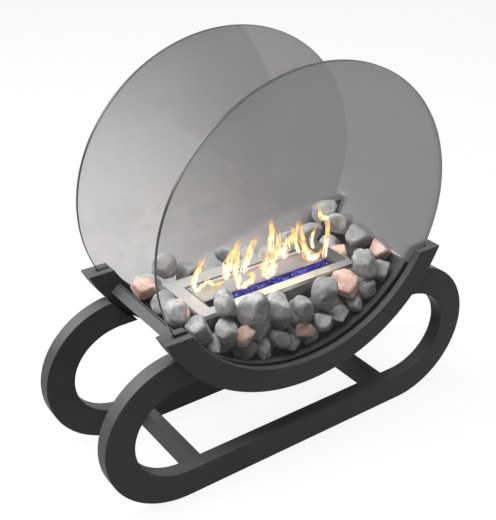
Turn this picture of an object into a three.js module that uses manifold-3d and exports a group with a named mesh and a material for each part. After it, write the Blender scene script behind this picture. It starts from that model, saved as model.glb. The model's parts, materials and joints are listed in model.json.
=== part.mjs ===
// Free-standing bioethanol fireplace: two round panes of smoked glass stand in the grooves of
// a pair of cradle arcs, the arcs ride on two sled runners, and a stainless burner sits in a
// bed of loose stones between them.
// Millimetres, +Z up, X along the runners, Y from the front pane to the rear one.
// The origin is on the floor, under the middle of the bowl.

import * as THREE from "three";
import { ConvexGeometry } from "three/addons/geometries/ConvexGeometry.js";
import { mergeVertices } from "three/addons/utils/BufferGeometryUtils.js";
import Module from "manifold-3d";

// ---------------------------------------------------------------- driving dimensions

// Glass panes
const PANE_HALF_WIDTH = 270;
const PANE_HALF_HEIGHT = 250;
const PANE_THICKNESS = 6;
const PANE_ARRIS = 0.8; // ground edge
const PANE_FOOT_HEIGHT = 165; // of the pane's lowest point
const PANE_SPACING = 238; // between the panes' mid-planes

// Cradle arcs that hold the panes
const ARC_WIDTH = 32; // along Y
const ARC_DEPTH = 40; // from the concave face to the convex one
const ARC_TIP_HEIGHT = 310; // the level cut at both ends
const ARC_CHAMFER = 1.5;
const GLASS_SEAT_DEPTH = 20; // how deep a pane stands in its groove
const SEAL_WALL = 1.2;
const SEAL_SET_BACK = 1.5; // seal's lips below the concave face

// Sled runners
const RUNNER_HEIGHT = 263;
const RUNNER_STRAIGHT = 446; // length of the straight foot
const RUNNER_END_REACH = 142; // of each half-round end
const RUNNER_BAR = 49.5; // depth of the bar, seen from the front
const RUNNER_WIDTH = 25; // along Y
const RUNNER_INSET = 22; // runner's outer face behind the arc's outer face
const RUNNER_CHAMFER = 1.5;

// Crossbars
const BAR_THICKNESS = 17;
const BAR_HEIGHT = 42;
const BAR_CHAMFER = 1;
const LOWER_BAR_OFFSET = 195; // from the middle, along X
const LOWER_BAR_LIFT = 3; // off the floor
const UPPER_BAR_LEVEL = 268; // where an upper bar's inner face meets the tray

// Bowl between the arcs
const TRAY_SHEET = 2;
const TRAY_SET_BACK = 8; // tray below the arcs' concave faces
const TRAY_END_HEIGHT = 284;

// Burner
const BURNER_OFFSET = -8; // it stands a little left of the middle
const SHEET = 1.5;
const PLATE_OVERHANG = 18; // past each end of the tank
const PLATE_WIDTH = 120;
const PLATE_TOP = 282;
const PLATE_SKIRT = 8;
const PLATE_CORNER = 3;
const MOUTH_END_SPARE = 6; // mouth within the tank, at each end
const MOUTH_FRONT_SPARE = 4; // mouth within the tank, in front
const MOUTH_REAR_SPARE = 10;
const TANK_LENGTH = 268;
const TANK_FRONT_SPARE = 14; // tank within the plate, in front
const TANK_REAR_SPARE = 16;
const TANK_DEPTH = 48;
const TANK_CORNER = 8;
const TANK_RIM = 8; // rim turned out round the tank
const RAIL_WIDTH = 14;
const RAIL_HEIGHT = 5.2;
const RAIL_SLOT_DEPTH = 4.5;
const RAIL_SLOT_HEIGHT = 2.1;
const RAIL_SLOT_LIFT = 2.2; // underside of the slot above the rail's foot
const RAIL_FRONT_SPARE = 3; // rail's front end behind the mouth's front edge
const DAMPER_OPENING = 23; // slot in front of the damper when it is pushed back
const DAMPER_TAIL_SPARE = 1; // between its rear edge and the plate's skirt
const LIP_SET_BACK = 12; // upright lip that is pushed to slide it, before the mouth's rear edge
const LIP_HEIGHT = 6;
const LIP_END_SPARE = 25; // lip within the mouth, at each end
const WOOL_DEPTH = 32;
const WOOL_SIDE_SPARE = 4;
const SUPPORT_END_SPARE = 9; // support within the tank, at each end
const SUPPORT_FLANGE = 18;
const SUPPORT_SHEET = 2;

// Stones
const STONE_RADIUS = 22.5;
const STONE_SPREAD = 4.5; // radii differ by as much either way
const LIP_STONE_SHARE = 0.78; // radii of the stones along the front lip, as a share of the others'
const STONE_LUMP = 0.07; // unevenness, as a share of the radius
const STONE_SQUASH = 0.18; // how far from round, as a share of the radius
const STONE_STRAY = 4; // how far from its even place in a row a stone is tipped
const ROW_DROP = 10; // each row of stones is tipped in from as much higher again
const ROW_CLEARANCE = 6; // between a long row and the burner or an arc's lip
const ROW_NEAR = 8; // from a plate's end to a row's end, where they are close
const ROW_FAR = 26; // where they are further apart
const ROW_WIDE = 52; // where they are furthest apart
const SLOPE_GRIP = 0.35; // how much of the tray's slope the stones hold on, instead of rolling down
const STONE_CLOSENESS = 0.93; // stones bed against each other, closer than round ones would
const LIP_LEAN = 40; // degrees off upright, of the plane in which a stone leans on an arc's lip
const BED_FUSION = 1.2; // how far the stones of a bed are fused into each other
const LIP_SHOWS = 0.8; // how much less buried a stone is, for each millimetre nearer the glass

// Fits
const GAP = 0.3; // between pieces that touch
const BURNER_CLEARANCE = 1.2; // between the stones and the burner as it lifts out

// Facets
const ARC_STEPS = 44;
const PANE_STEPS = 72;
const RUNNER_STEPS = 20; // for each half-round end
const SUPPORT_STEPS = 16;
const STONE_DIRECTIONS = 22;

// ---------------------------------------------------------------- worked-out sizes

const PANE_CENTRE_HEIGHT = PANE_FOOT_HEIGHT + PANE_HALF_HEIGHT;
const PANE_Y = PANE_SPACING / 2;
const ARC_INNER_Y = PANE_Y - ARC_WIDTH / 2;
const ARC_OUTER_Y = PANE_Y + ARC_WIDTH / 2;
const RUNNER_OUTER_Y = ARC_OUTER_Y - RUNNER_INSET;
const RUNNER_INNER_Y = RUNNER_OUTER_Y - RUNNER_WIDTH;

// Offsets are measured from the pane's edge, outwards.
const GROOVE_FLOOR = SEAL_WALL + 2 * GAP;
const GROOVE_HALF = PANE_THICKNESS / 2 + GROOVE_FLOOR;
const ARC_CONCAVE = -GLASS_SEAT_DEPTH;
const ARC_CONVEX = ARC_CONCAVE + ARC_DEPTH;
const TRAY_INSIDE = ARC_CONCAVE + TRAY_SET_BACK;
const TRAY_OUTSIDE = TRAY_INSIDE + TRAY_SHEET;

// How far the facets of the tray and arcs cut inside the true ellipse.
const SAGITTA = PANE_HALF_WIDTH * (1 - Math.cos(Math.PI / 2 / ARC_STEPS));

const PLATE_LENGTH = TANK_LENGTH + 2 * PLATE_OVERHANG;
const MOUTH_LENGTH = TANK_LENGTH - 2 * MOUTH_END_SPARE;
const LIP_LENGTH = MOUTH_LENGTH - 2 * LIP_END_SPARE;
const SUPPORT_LENGTH = TANK_LENGTH - 2 * SUPPORT_END_SPARE;

// Places along Y
const TANK_FRONT = TANK_FRONT_SPARE - PLATE_WIDTH / 2;
const TANK_REAR = PLATE_WIDTH / 2 - TANK_REAR_SPARE;
const MOUTH_FRONT = TANK_FRONT + MOUTH_FRONT_SPARE;
const MOUTH_REAR = TANK_REAR - MOUTH_REAR_SPARE;
const DAMPER_OPEN_EDGE = MOUTH_FRONT + DAMPER_OPENING;
const DAMPER_TAIL = PLATE_WIDTH / 2 - SHEET - DAMPER_TAIL_SPARE;
const LIP_PLACE = MOUTH_REAR - LIP_SET_BACK;

const PLATE_UNDER = PLATE_TOP - SHEET;
const RAIL_TOP = PLATE_UNDER - GAP;
const RAIL_FOOT = RAIL_TOP - RAIL_HEIGHT;
const TANK_TOP = RAIL_FOOT - GAP;
const TANK_BOTTOM = TANK_TOP - TANK_DEPTH;
const DAMPER_UNDER = RAIL_FOOT + RAIL_SLOT_LIFT + GAP;
const DAMPER_HALF = MOUTH_LENGTH / 2 - GAP;

// ---------------------------------------------------------------- finishes

const finish = (color, roughness, metalness, more = {}) =>
  new THREE.MeshStandardMaterial({ color, roughness, metalness, ...more });

const BLACK_STEEL = finish(0x35373a, 0.55, 0.35);
const SMOKED_GLASS = finish(0x8e8d90, 0.06, 0, { transparent: true, opacity: 0.5 });
const SILICONE = finish(0x151516, 0.8, 0);
const STAINLESS = finish(0xb9b6af, 0.32, 1);
const CERAMIC_WOOL = finish(0xd8d4ca, 0.95, 0);
const GREY_STONE = finish(0x86888c, 0.85, 0);
const PINK_STONE = finish(0xd7a391, 0.8, 0);

// ---------------------------------------------------------------- solids

const wasm = await Module();
wasm.setup();

function solidOf(geometry) {
  const bare = geometry.clone();
  bare.deleteAttribute("normal");
  bare.deleteAttribute("uv");
  const merged = mergeVertices(bare, 1e-4);
  return new wasm.Manifold(
    new wasm.Mesh({
      numProp: 3,
      vertProperties: Float32Array.from(merged.attributes.position.array),
      triVerts: Uint32Array.from(merged.index.array),
    }),
  );
}

function geometryOf(solid) {
  const { vertProperties, triVerts } = solid.getMesh();
  const geometry = new THREE.BufferGeometry();
  geometry.setAttribute("position", new THREE.Float32BufferAttribute(vertProperties, 3));
  geometry.setIndex(new THREE.Uint32BufferAttribute(triVerts, 1));
  geometry.computeVertexNormals();
  return geometry;
}

const joined = (...geometries) =>
  geometryOf(geometries.map(solidOf).reduce((whole, piece) => whole.add(piece)));

const cutBy = (geometry, ...cutters) =>
  geometryOf(cutters.map(solidOf).reduce((rest, cutter) => rest.subtract(cutter), solidOf(geometry)));

// A straight bar of the given outline in XZ, from one Y to another, with chamfered ends.
function alongY(shape, fromY, toY, chamfer = 0, curveSegments = 12) {
  const geometry = new THREE.ExtrudeGeometry(shape, {
    depth: toY - fromY - 2 * chamfer,
    steps: 1,
    curveSegments,
    bevelEnabled: chamfer > 0,
    bevelThickness: chamfer,
    bevelSize: chamfer,
    bevelOffset: -chamfer,
    bevelSegments: 1,
  });
  geometry.rotateX(Math.PI / 2);
  geometry.translate(0, toY - chamfer, 0);
  return geometry;
}

// A flat sheet or block of the given outline in XY, from one Z to another.
function alongZ(shape, fromZ, toZ, curveSegments = 3) {
  const depth = toZ - fromZ;
  const geometry = new THREE.ExtrudeGeometry(shape, {
    depth,
    steps: 1,
    curveSegments,
    bevelEnabled: false,
  });
  geometry.translate(0, 0, fromZ);
  return geometry;
}

function box(x0, x1, y0, y1, z0, z1) {
  const geometry = new THREE.BoxGeometry(x1 - x0, y1 - y0, z1 - z0);
  geometry.translate((x0 + x1) / 2, (y0 + y1) / 2, (z0 + z1) / 2);
  return geometry;
}

function rectangle(x0, x1, y0, y1, target = new THREE.Shape()) {
  target.moveTo(x0, y0);
  target.lineTo(x1, y0);
  target.lineTo(x1, y1);
  target.lineTo(x0, y1);
  target.closePath();
  return target;
}

function roundedRectangle(x0, x1, y0, y1, radius) {
  const shape = new THREE.Shape();
  shape.moveTo(x0 + radius, y0);
  shape.lineTo(x1 - radius, y0);
  shape.absarc(x1 - radius, y0 + radius, radius, -Math.PI / 2, 0);
  shape.lineTo(x1, y1 - radius);
  shape.absarc(x1 - radius, y1 - radius, radius, 0, Math.PI / 2);
  shape.lineTo(x0 + radius, y1);
  shape.absarc(x0 + radius, y1 - radius, radius, Math.PI / 2, Math.PI);
  shape.lineTo(x0, y0 + radius);
  shape.absarc(x0 + radius, y0 + radius, radius, Math.PI, Math.PI * 1.5);
  shape.closePath();
  return shape;
}

// ---------------------------------------------------------------- the bowl's ellipse

// Angle 0 is the lowest point and grows towards +X.
const onBowl = (offset, angle) => [
  (PANE_HALF_WIDTH + offset) * Math.sin(angle),
  PANE_CENTRE_HEIGHT - (PANE_HALF_HEIGHT + offset) * Math.cos(angle),
];

const angleAtHeight = (offset, height) =>
  Math.acos((PANE_CENTRE_HEIGHT - height) / (PANE_HALF_HEIGHT + offset));

const angleAtX = (offset, x) => Math.asin(x / (PANE_HALF_WIDTH + offset));

const heightAtX = (offset, x) => onBowl(offset, angleAtX(offset, x))[1];

function outwardNormal(offset, angle) {
  const x = (PANE_HALF_HEIGHT + offset) * Math.sin(angle);
  const z = -(PANE_HALF_WIDTH + offset) * Math.cos(angle);
  const length = Math.hypot(x, z);
  return [x / length, z / length];
}

// Sweeps a closed section of [offset, y] points round the bowl, cut level at both ends.
function sweptRoundBowl(section, tipHeight) {
  const count = section.length;
  const positions = [];
  const index = [];
  for (let step = 0; step <= ARC_STEPS; step++) {
    for (const [offset, y] of section) {
      const angle = (2 * step / ARC_STEPS - 1) * angleAtHeight(offset, tipHeight);
      const [x, z] = onBowl(offset, angle);
      positions.push(x, y, z);
    }
  }
  for (let step = 0; step < ARC_STEPS; step++) {
    for (let i = 0; i < count; i++) {
      const a = step * count + i;
      const b = step * count + ((i + 1) % count);
      index.push(a, b, b + count, a, b + count, a + count);
    }
  }
  const outline = section.map(([offset, y]) => new THREE.Vector2(offset, y));
  const last = ARC_STEPS * count;
  for (const [a, b, c] of THREE.ShapeUtils.triangulateShape(outline, [])) {
    index.push(a, c, b, last + a, last + b, last + c);
  }
  const geometry = new THREE.BufferGeometry();
  geometry.setAttribute("position", new THREE.Float32BufferAttribute(positions, 3));
  geometry.setIndex(index);
  geometry.computeVertexNormals();
  return geometry;
}

// ---------------------------------------------------------------- panes, seals and arcs

function pane() {
  const edge = PANE_HALF_HEIGHT;
  const half = PANE_THICKNESS / 2;
  const profile = [
    [0, -half],
    [edge - PANE_ARRIS, -half],
    [edge, PANE_ARRIS - half],
    [edge, half - PANE_ARRIS],
    [edge - PANE_ARRIS, half],
    [0, half],
  ].map(([radius, height]) => new THREE.Vector2(radius, height));
  const geometry = new THREE.LatheGeometry(profile, PANE_STEPS);
  geometry.scale(PANE_HALF_WIDTH / PANE_HALF_HEIGHT, 1, 1);
  return geometry;
}

function arc() {
  const half = ARC_WIDTH / 2;
  const cut = ARC_CHAMFER;
  return sweptRoundBowl(
    [
      [ARC_CONCAVE + cut, -half],
      [ARC_CONVEX - cut, -half],
      [ARC_CONVEX, cut - half],
      [ARC_CONVEX, half - cut],
      [ARC_CONVEX - cut, half],
      [ARC_CONCAVE + cut, half],
      [ARC_CONCAVE, half - cut],
      [ARC_CONCAVE, GROOVE_HALF],
      [GROOVE_FLOOR, GROOVE_HALF],
      [GROOVE_FLOOR, -GROOVE_HALF],
      [ARC_CONCAVE, -GROOVE_HALF],
      [ARC_CONCAVE, cut - half],
    ],
    ARC_TIP_HEIGHT,
  );
}

function seal() {
  const outside = PANE_THICKNESS / 2 + GAP + SEAL_WALL;
  const inside = PANE_THICKNESS / 2 + GAP;
  const lips = ARC_CONCAVE + SEAL_SET_BACK;
  return sweptRoundBowl(
    [
      [lips, -outside],
      [GAP + SEAL_WALL, -outside],
      [GAP + SEAL_WALL, outside],
      [lips, outside],
      [lips, inside],
      [GAP, inside],
      [GAP, -inside],
      [lips, -inside],
    ],
    ARC_TIP_HEIGHT - SEAL_SET_BACK,
  );
}

function tray() {
  const half = ARC_INNER_Y - GAP;
  return sweptRoundBowl(
    [
      [TRAY_INSIDE, -half],
      [TRAY_OUTSIDE, -half],
      [TRAY_OUTSIDE, half],
      [TRAY_INSIDE, half],
    ],
    TRAY_END_HEIGHT,
  );
}

// ---------------------------------------------------------------- runners and crossbars

function stadium(inset, target) {
  const x = RUNNER_STRAIGHT / 2;
  const reach = RUNNER_END_REACH - inset;
  const rise = RUNNER_HEIGHT / 2 - inset;
  const middle = RUNNER_HEIGHT / 2;
  target.moveTo(-x, middle - rise);
  target.lineTo(x, middle - rise);
  target.absellipse(x, middle, reach, rise, -Math.PI / 2, Math.PI / 2, false, 0);
  target.lineTo(-x, middle + rise);
  target.absellipse(-x, middle, reach, rise, Math.PI / 2, Math.PI * 1.5, false, 0);
  target.closePath();
  return target;
}

// A bent bar: the foot and both half-round ends, cut to the underside of the arc.
function runner() {
  const half = RUNNER_WIDTH / 2;
  const shape = stadium(0, new THREE.Shape());
  shape.holes.push(stadium(RUNNER_BAR, new THREE.Path()));
  const ring = alongY(shape, -half, half, RUNNER_CHAMFER, RUNNER_STEPS);
  const outline = new THREE.Shape();
  const reach = ARC_CONVEX + GAP;
  outline.absellipse(
    0,
    PANE_CENTRE_HEIGHT,
    PANE_HALF_WIDTH + reach,
    PANE_HALF_HEIGHT + reach,
    0,
    Math.PI * 2,
  );
  return cutBy(ring, alongY(outline, -RUNNER_WIDTH, RUNNER_WIDTH, 0, 2 * ARC_STEPS));
}

function crossbar(length) {
  const shape = rectangle(-BAR_THICKNESS / 2, BAR_THICKNESS / 2, -BAR_HEIGHT / 2, BAR_HEIGHT / 2);
  return alongY(shape, -length / 2, length / 2, BAR_CHAMFER);
}

// ---------------------------------------------------------------- burner

const atBurner = (geometry) => geometry.translate(BURNER_OFFSET, 0, 0);

function burnerPlate() {
  const x = PLATE_LENGTH / 2;
  const y = PLATE_WIDTH / 2;
  const sheet = roundedRectangle(-x, x, -y, y, PLATE_CORNER);
  const mouth = MOUTH_LENGTH / 2;
  sheet.holes.push(rectangle(-mouth, mouth, MOUTH_FRONT, MOUTH_REAR, new THREE.Path()));
  const skirt = roundedRectangle(-x, x, -y, y, PLATE_CORNER);
  skirt.holes.push(roundedRectangle(SHEET - x, x - SHEET, SHEET - y, y - SHEET, PLATE_CORNER - SHEET));
  // The mouth's front edge is folded down, to hide the damper's edge when it is shut.
  const fold = box(-mouth, mouth, MOUTH_FRONT - SHEET, MOUTH_FRONT, RAIL_FOOT, PLATE_TOP);
  return atBurner(
    joined(alongZ(sheet, PLATE_UNDER, PLATE_TOP), alongZ(skirt, PLATE_TOP - PLATE_SKIRT, PLATE_TOP), fold),
  );
}

function burnerTank() {
  const x = TANK_LENGTH / 2;
  const outside = roundedRectangle(-x, x, TANK_FRONT, TANK_REAR, TANK_CORNER);
  const rim = roundedRectangle(
    -x - TANK_RIM,
    x + TANK_RIM,
    TANK_FRONT - TANK_RIM,
    TANK_REAR + TANK_RIM,
    TANK_CORNER,
  );
  const inside = roundedRectangle(
    SHEET - x,
    x - SHEET,
    TANK_FRONT + SHEET,
    TANK_REAR - SHEET,
    TANK_CORNER - SHEET,
  );
  return atBurner(
    cutBy(
      joined(alongZ(outside, TANK_BOTTOM, TANK_TOP), alongZ(rim, TANK_TOP - SHEET, TANK_TOP)),
      alongZ(inside, TANK_BOTTOM + SHEET, TANK_TOP + SHEET),
    ),
  );
}

// side is -1 for the left rail and 1 for the right one; the slot faces the other rail.
function damperRail(side) {
  const face = MOUTH_LENGTH / 2 - RAIL_SLOT_DEPTH + GAP;
  const shape = new THREE.Shape();
  const points = [
    [face, RAIL_FOOT],
    [face + RAIL_WIDTH, RAIL_FOOT],
    [face + RAIL_WIDTH, RAIL_TOP],
    [face, RAIL_TOP],
    [face, RAIL_FOOT + RAIL_SLOT_LIFT + RAIL_SLOT_HEIGHT],
    [face + RAIL_SLOT_DEPTH, RAIL_FOOT + RAIL_SLOT_LIFT + RAIL_SLOT_HEIGHT],
    [face + RAIL_SLOT_DEPTH, RAIL_FOOT + RAIL_SLOT_LIFT],
    [face, RAIL_FOOT + RAIL_SLOT_LIFT],
  ];
  shape.setFromPoints(points.map(([x, z]) => new THREE.Vector2(x, z)));
  const bar = alongY(shape, MOUTH_FRONT + RAIL_FRONT_SPARE, TANK_REAR + TANK_RIM);
  if (side < 0) bar.rotateZ(Math.PI).translate(0, MOUTH_FRONT + RAIL_FRONT_SPARE + TANK_REAR + TANK_RIM, 0);
  return atBurner(bar);
}

function damper() {
  const top = DAMPER_UNDER + SHEET;
  const half = LIP_LENGTH / 2;
  const lip = box(-half, half, LIP_PLACE, LIP_PLACE + SHEET, DAMPER_UNDER, top + LIP_HEIGHT);
  const blade = box(-DAMPER_HALF, DAMPER_HALF, DAMPER_OPEN_EDGE, DAMPER_TAIL, DAMPER_UNDER, top);
  return atBurner(joined(blade, lip));
}

function ceramicWool() {
  const x = TANK_LENGTH / 2 - SHEET - WOOL_SIDE_SPARE;
  const floor = TANK_BOTTOM + SHEET + GAP;
  const shape = roundedRectangle(
    -x,
    x,
    TANK_FRONT + SHEET + WOOL_SIDE_SPARE,
    TANK_REAR - SHEET - WOOL_SIDE_SPARE,
    TANK_CORNER - SHEET,
  );
  return atBurner(alongZ(shape, floor, floor + WOOL_DEPTH));
}

// An angle between the tray and the tank, along one side of the tank: its foot follows the
// tray and keeps the stones out, and its flange is turned in under the tank.
function burnerSupport(side) {
  const top = TANK_BOTTOM - GAP;
  const foot = Array.from({ length: SUPPORT_STEPS + 1 }, (_, i) => {
    const x = SUPPORT_LENGTH * (i / SUPPORT_STEPS - 0.5);
    return new THREE.Vector2(x, heightAtX(TRAY_INSIDE, x + BURNER_OFFSET) + GAP + SAGITTA);
  });
  const half = SUPPORT_LENGTH / 2;
  const outline = new THREE.Shape([...foot, new THREE.Vector2(half, top), new THREE.Vector2(-half, top)]);
  const face = side < 0 ? TANK_FRONT : TANK_REAR;
  const inwards = (depth) => [face, face - side * depth].sort((a, b) => a - b);
  const web = alongY(outline, ...inwards(SUPPORT_SHEET));
  return atBurner(joined(web, box(-half, half, ...inwards(SUPPORT_FLANGE), top - SUPPORT_SHEET, top)));
}

// ---------------------------------------------------------------- stones

// A small repeatable source of random numbers between 0 and 1.
function randomSource(seed) {
  let state = seed;
  return () => {
    state = (state + 0x6d2b79f5) | 0;
    let t = Math.imul(state ^ (state >>> 15), 1 | state);
    t = (t + Math.imul(t ^ (t >>> 7), 61 | t)) ^ t;
    return ((t ^ (t >>> 14)) >>> 0) / 4294967296;
  };
}

const random = randomSource(5);
const between = (low, high) => low + (high - low) * random();

const PLATE_LEFT = BURNER_OFFSET - PLATE_LENGTH / 2;
const PLATE_RIGHT = BURNER_OFFSET + PLATE_LENGTH / 2;
const BY_BURNER = PLATE_WIDTH / 2 + ROW_CLEARANCE;
const BY_LIP = ARC_INNER_Y - ROW_CLEARANCE;
const MIDWAY = (BY_BURNER + BY_LIP) / 2;

// Rows in which the stones are tipped in, lowest first: how many, and the X and Y of the
// row's two ends.
const ROWS = [
  { count: 15, size: LIP_STONE_SHARE, x: [PLATE_LEFT, PLATE_RIGHT + ROW_WIDE], y: [-BY_LIP, -BY_LIP] },
  { count: 17, x: [PLATE_LEFT, PLATE_RIGHT + ROW_NEAR], y: [MIDWAY, MIDWAY] },
  { count: 9, x: [PLATE_LEFT + ROW_FAR, PLATE_RIGHT], y: [-BY_BURNER, -BY_BURNER] },
  { count: 8, x: [PLATE_LEFT + ROW_WIDE, PLATE_RIGHT + ROW_FAR], y: [-MIDWAY, -MIDWAY] },
  { count: 7, x: [PLATE_LEFT - ROW_NEAR, PLATE_RIGHT + ROW_FAR], y: [MIDWAY, MIDWAY] },
  { count: 3, x: [PLATE_LEFT + ROW_NEAR, PLATE_LEFT + ROW_WIDE], y: [-MIDWAY, -MIDWAY] },
  { count: 4, x: [PLATE_LEFT - ROW_FAR, PLATE_LEFT - ROW_FAR], y: [-BY_BURNER, BY_BURNER] },
  { count: 4, x: [PLATE_RIGHT + ROW_FAR, PLATE_RIGHT + ROW_FAR], y: [-BY_BURNER, BY_BURNER] },
  { count: 4, x: [PLATE_RIGHT + ROW_WIDE, PLATE_RIGHT + ROW_WIDE], y: [-BY_BURNER, BY_BURNER] },
];

// The most buried stones on each side of the burner are fused into one bed.
const BEDS = [
  { name: "stone_bed_front", side: -1, count: 16 },
  { name: "stone_bed_rear", side: 1, count: 18 },
];

function tippedStones() {
  const stones = [];
  ROWS.forEach(({ count, x, y, size = 1 }, layer) => {
    for (let i = 0; i < count; i++) {
      const share = i / (count - 1);
      const centre = new THREE.Vector3(
        THREE.MathUtils.lerp(...x, share) + between(-STONE_STRAY, STONE_STRAY),
        THREE.MathUtils.lerp(...y, share) + between(-STONE_STRAY, STONE_STRAY),
        0,
      );
      const radius = size * between(STONE_RADIUS - STONE_SPREAD, STONE_RADIUS + STONE_SPREAD);
      centre.z = heightAtX(TRAY_INSIDE, centre.x) + radius + ROW_DROP * layer;
      stones.push({ centre, radius });
    }
  });
  return stones;
}

// Flat limits that a stone stays behind are each a normal and how far along it the limit lies.

const limitAt = (normal, point) => ({ normal, limit: normal.dot(point) - GAP - SAGITTA });

// Where the bowl is touched at the given offset, below a stone and to both sides of it.
const TOUCHES = [-1.4, -0.7, 0, 0.7, 1.4]; // in radii, from the stone's centre
const LAST_TOUCH = 0.985; // as a share of the bowl's half-width

function touchesBelow({ centre, radius }, offset) {
  const end = (PANE_HALF_WIDTH + offset) * LAST_TOUCH;
  return TOUCHES.map((touch) => {
    const x = THREE.MathUtils.clamp(centre.x + touch * radius, -end, end);
    const angle = angleAtX(offset, x);
    const [nx, nz] = outwardNormal(offset, angle);
    const [px, pz] = onBowl(offset, angle);
    return { normal: new THREE.Vector3(nx, 0, nz), point: new THREE.Vector3(px, 0, pz) };
  });
}

// A stone lies on the tray, leans on the inner edge of an arc's lip and stays off the glass.
function bowlLimits(stone) {
  const side = Math.sign(stone.centre.y) || 1;
  const tray = touchesBelow(stone, TRAY_INSIDE).map(({ normal, point }) => limitAt(normal, point));
  const lean = THREE.MathUtils.degToRad(LIP_LEAN);
  const lip = touchesBelow(stone, ARC_CONCAVE).map(({ normal, point }) => {
    normal.multiplyScalar(Math.sin(lean)).setY(side * Math.cos(lean));
    return limitAt(normal, point.setY(side * ARC_INNER_Y));
  });
  const glass = new THREE.Vector3(0, side * (PANE_Y - PANE_THICKNESS / 2), 0);
  return [...tray, ...lip, limitAt(new THREE.Vector3(0, side, 0), glass)];
}

const room = ({ normal, limit }, { centre }) => limit - normal.dot(centre);

// The burner lifts straight out, so nothing lies above it: the tank on its supports, which
// reach down to the tray, then the wider plate.
const BURNER_SHAFTS = [
  { x: TANK_LENGTH / 2, front: TANK_FRONT, rear: TANK_REAR, bottom: 0 },
  { x: PLATE_LENGTH / 2, front: -PLATE_WIDTH / 2, rear: PLATE_WIDTH / 2, bottom: PLATE_TOP - PLATE_SKIRT },
];

function burnerLimits(stone) {
  return BURNER_SHAFTS.map(({ x, front, rear, bottom }) => {
    const walls = [
      [-1, 0, 0, BURNER_OFFSET + x],
      [1, 0, 0, BURNER_OFFSET - x],
      [0, -1, 0, rear],
      [0, 1, 0, front],
      [0, 0, 1, bottom],
    ].map(([nx, ny, nz, place]) => ({
      normal: new THREE.Vector3(nx, ny, nz),
      limit: (nx + ny + nz) * place - BURNER_CLEARANCE,
    }));
    return walls.reduce((best, wall) => (room(wall, stone) > room(best, stone) ? wall : best));
  });
}

const wallsAround = (stone) => [...bowlLimits(stone), ...burnerLimits(stone)];

function pushApart(stones, strength) {
  for (let i = 0; i < stones.length; i++) {
    for (let j = i + 1; j < stones.length; j++) {
      const a = stones[i];
      const b = stones[j];
      const away = new THREE.Vector3().subVectors(b.centre, a.centre);
      const distance = away.length() || 1;
      const overlap = (a.radius + b.radius) * STONE_CLOSENESS - distance;
      if (overlap <= 0) continue;
      away.multiplyScalar((overlap * strength) / (2 * distance));
      a.centre.sub(away);
      b.centre.add(away);
    }
  }
}

function pushInside(stones) {
  for (const stone of stones) {
    for (const wall of wallsAround(stone)) {
      const reach = stone.radius * STONE_CLOSENESS - room(wall, stone);
      if (reach > 0) stone.centre.addScaledVector(wall.normal, -reach);
    }
  }
}

// Lets the stones fall and come to rest in the bowl round the burner.
const FALLS = 260;
const FIRST_FALL = 1.6; // each fall is shorter than the one before
const FALL_PASSES = 4;
const REST_PASSES = 60;
const FALL_PUSH = 0.6; // share of an overlap that is cleared in one pass
const REST_PUSH = 0.5;

// The way that a stone falls: down, and towards the tray below it where it grips the slope.
function pull({ centre }) {
  const [nx, nz] = outwardNormal(TRAY_INSIDE, angleAtX(TRAY_INSIDE, centre.x));
  return new THREE.Vector3(nx * SLOPE_GRIP, 0, THREE.MathUtils.lerp(-1, nz, SLOPE_GRIP)).normalize();
}

function settle(stones) {
  const clear = (passes, push) => {
    for (let pass = 0; pass < passes; pass++) {
      pushApart(stones, push);
      pushInside(stones);
    }
  };
  for (let fall = 0; fall < FALLS; fall++) {
    for (const stone of stones) {
      stone.centre.addScaledVector(pull(stone), FIRST_FALL * (1 - fall / FALLS));
    }
    clear(FALL_PASSES, FALL_PUSH);
  }
  clear(REST_PASSES, REST_PUSH);
}

// The limit halfway between two stones, seen from the first.
function planeBetween(a, b, gap) {
  const normal = new THREE.Vector3().subVectors(b.centre, a.centre);
  const distance = normal.length();
  normal.divideScalar(distance);
  const share = distance / 2 + (a.radius - b.radius) / 2;
  return { normal, limit: normal.dot(a.centre) + share - gap / 2, distance };
}

function spreadDirections(count, turn) {
  const golden = Math.PI * (3 - Math.sqrt(5));
  return Array.from({ length: count }, (_, i) => {
    const z = 1 - (2 * i + 1) / count;
    const ring = Math.sqrt(1 - z * z);
    const direction = new THREE.Vector3(ring * Math.cos(golden * i), ring * Math.sin(golden * i), z);
    return direction.applyQuaternion(turn);
  });
}

const buried = ({ centre }) =>
  heightAtX(TRAY_INSIDE, centre.x) - centre.z - LIP_SHOWS * Math.abs(centre.y);

const touching = (a, b) =>
  a.centre.distanceTo(b.centre) < ((1 + STONE_CLOSENESS) / 2) * (a.radius + b.radius);

// Gathers stones of the heap outwards from one of them, each next one touching those before.
function gatheredFrom(first, heap, count) {
  const rest = [...heap];
  const gathered = rest.splice(first, 1);
  while (gathered.length < count) {
    const next = rest.findIndex((other) => gathered.some((member) => touching(member, other)));
    if (next < 0) break;
    gathered.push(...rest.splice(next, 1));
  }
  return gathered;
}

// A bed is gathered from the most buried stone that has enough others round it.
function gatherBed(stones, { name, side, count }) {
  const besideBurner = ({ centre }) =>
    centre.y * side > 0 && centre.x > PLATE_LEFT && centre.x < PLATE_RIGHT;
  const heap = stones.filter(besideBurner).sort((a, b) => buried(b) - buried(a));
  let bed = [];
  for (let first = 0; first < heap.length && bed.length < count; first++) {
    const gathered = gatheredFrom(first, heap, count);
    if (gathered.length > bed.length) bed = gathered;
  }
  for (const stone of bed) stone.bed = name;
  return bed;
}

// A tumbled stone: a lumpy, slightly flattened ball, pressed flat where it meets a neighbour.
const NEIGHBOURS_WITHIN = 1.5; // centres this near, as a share of both radii together
const LEANS_WITHIN = 1.12; // a stone reaches what lies this near, in radii

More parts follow.
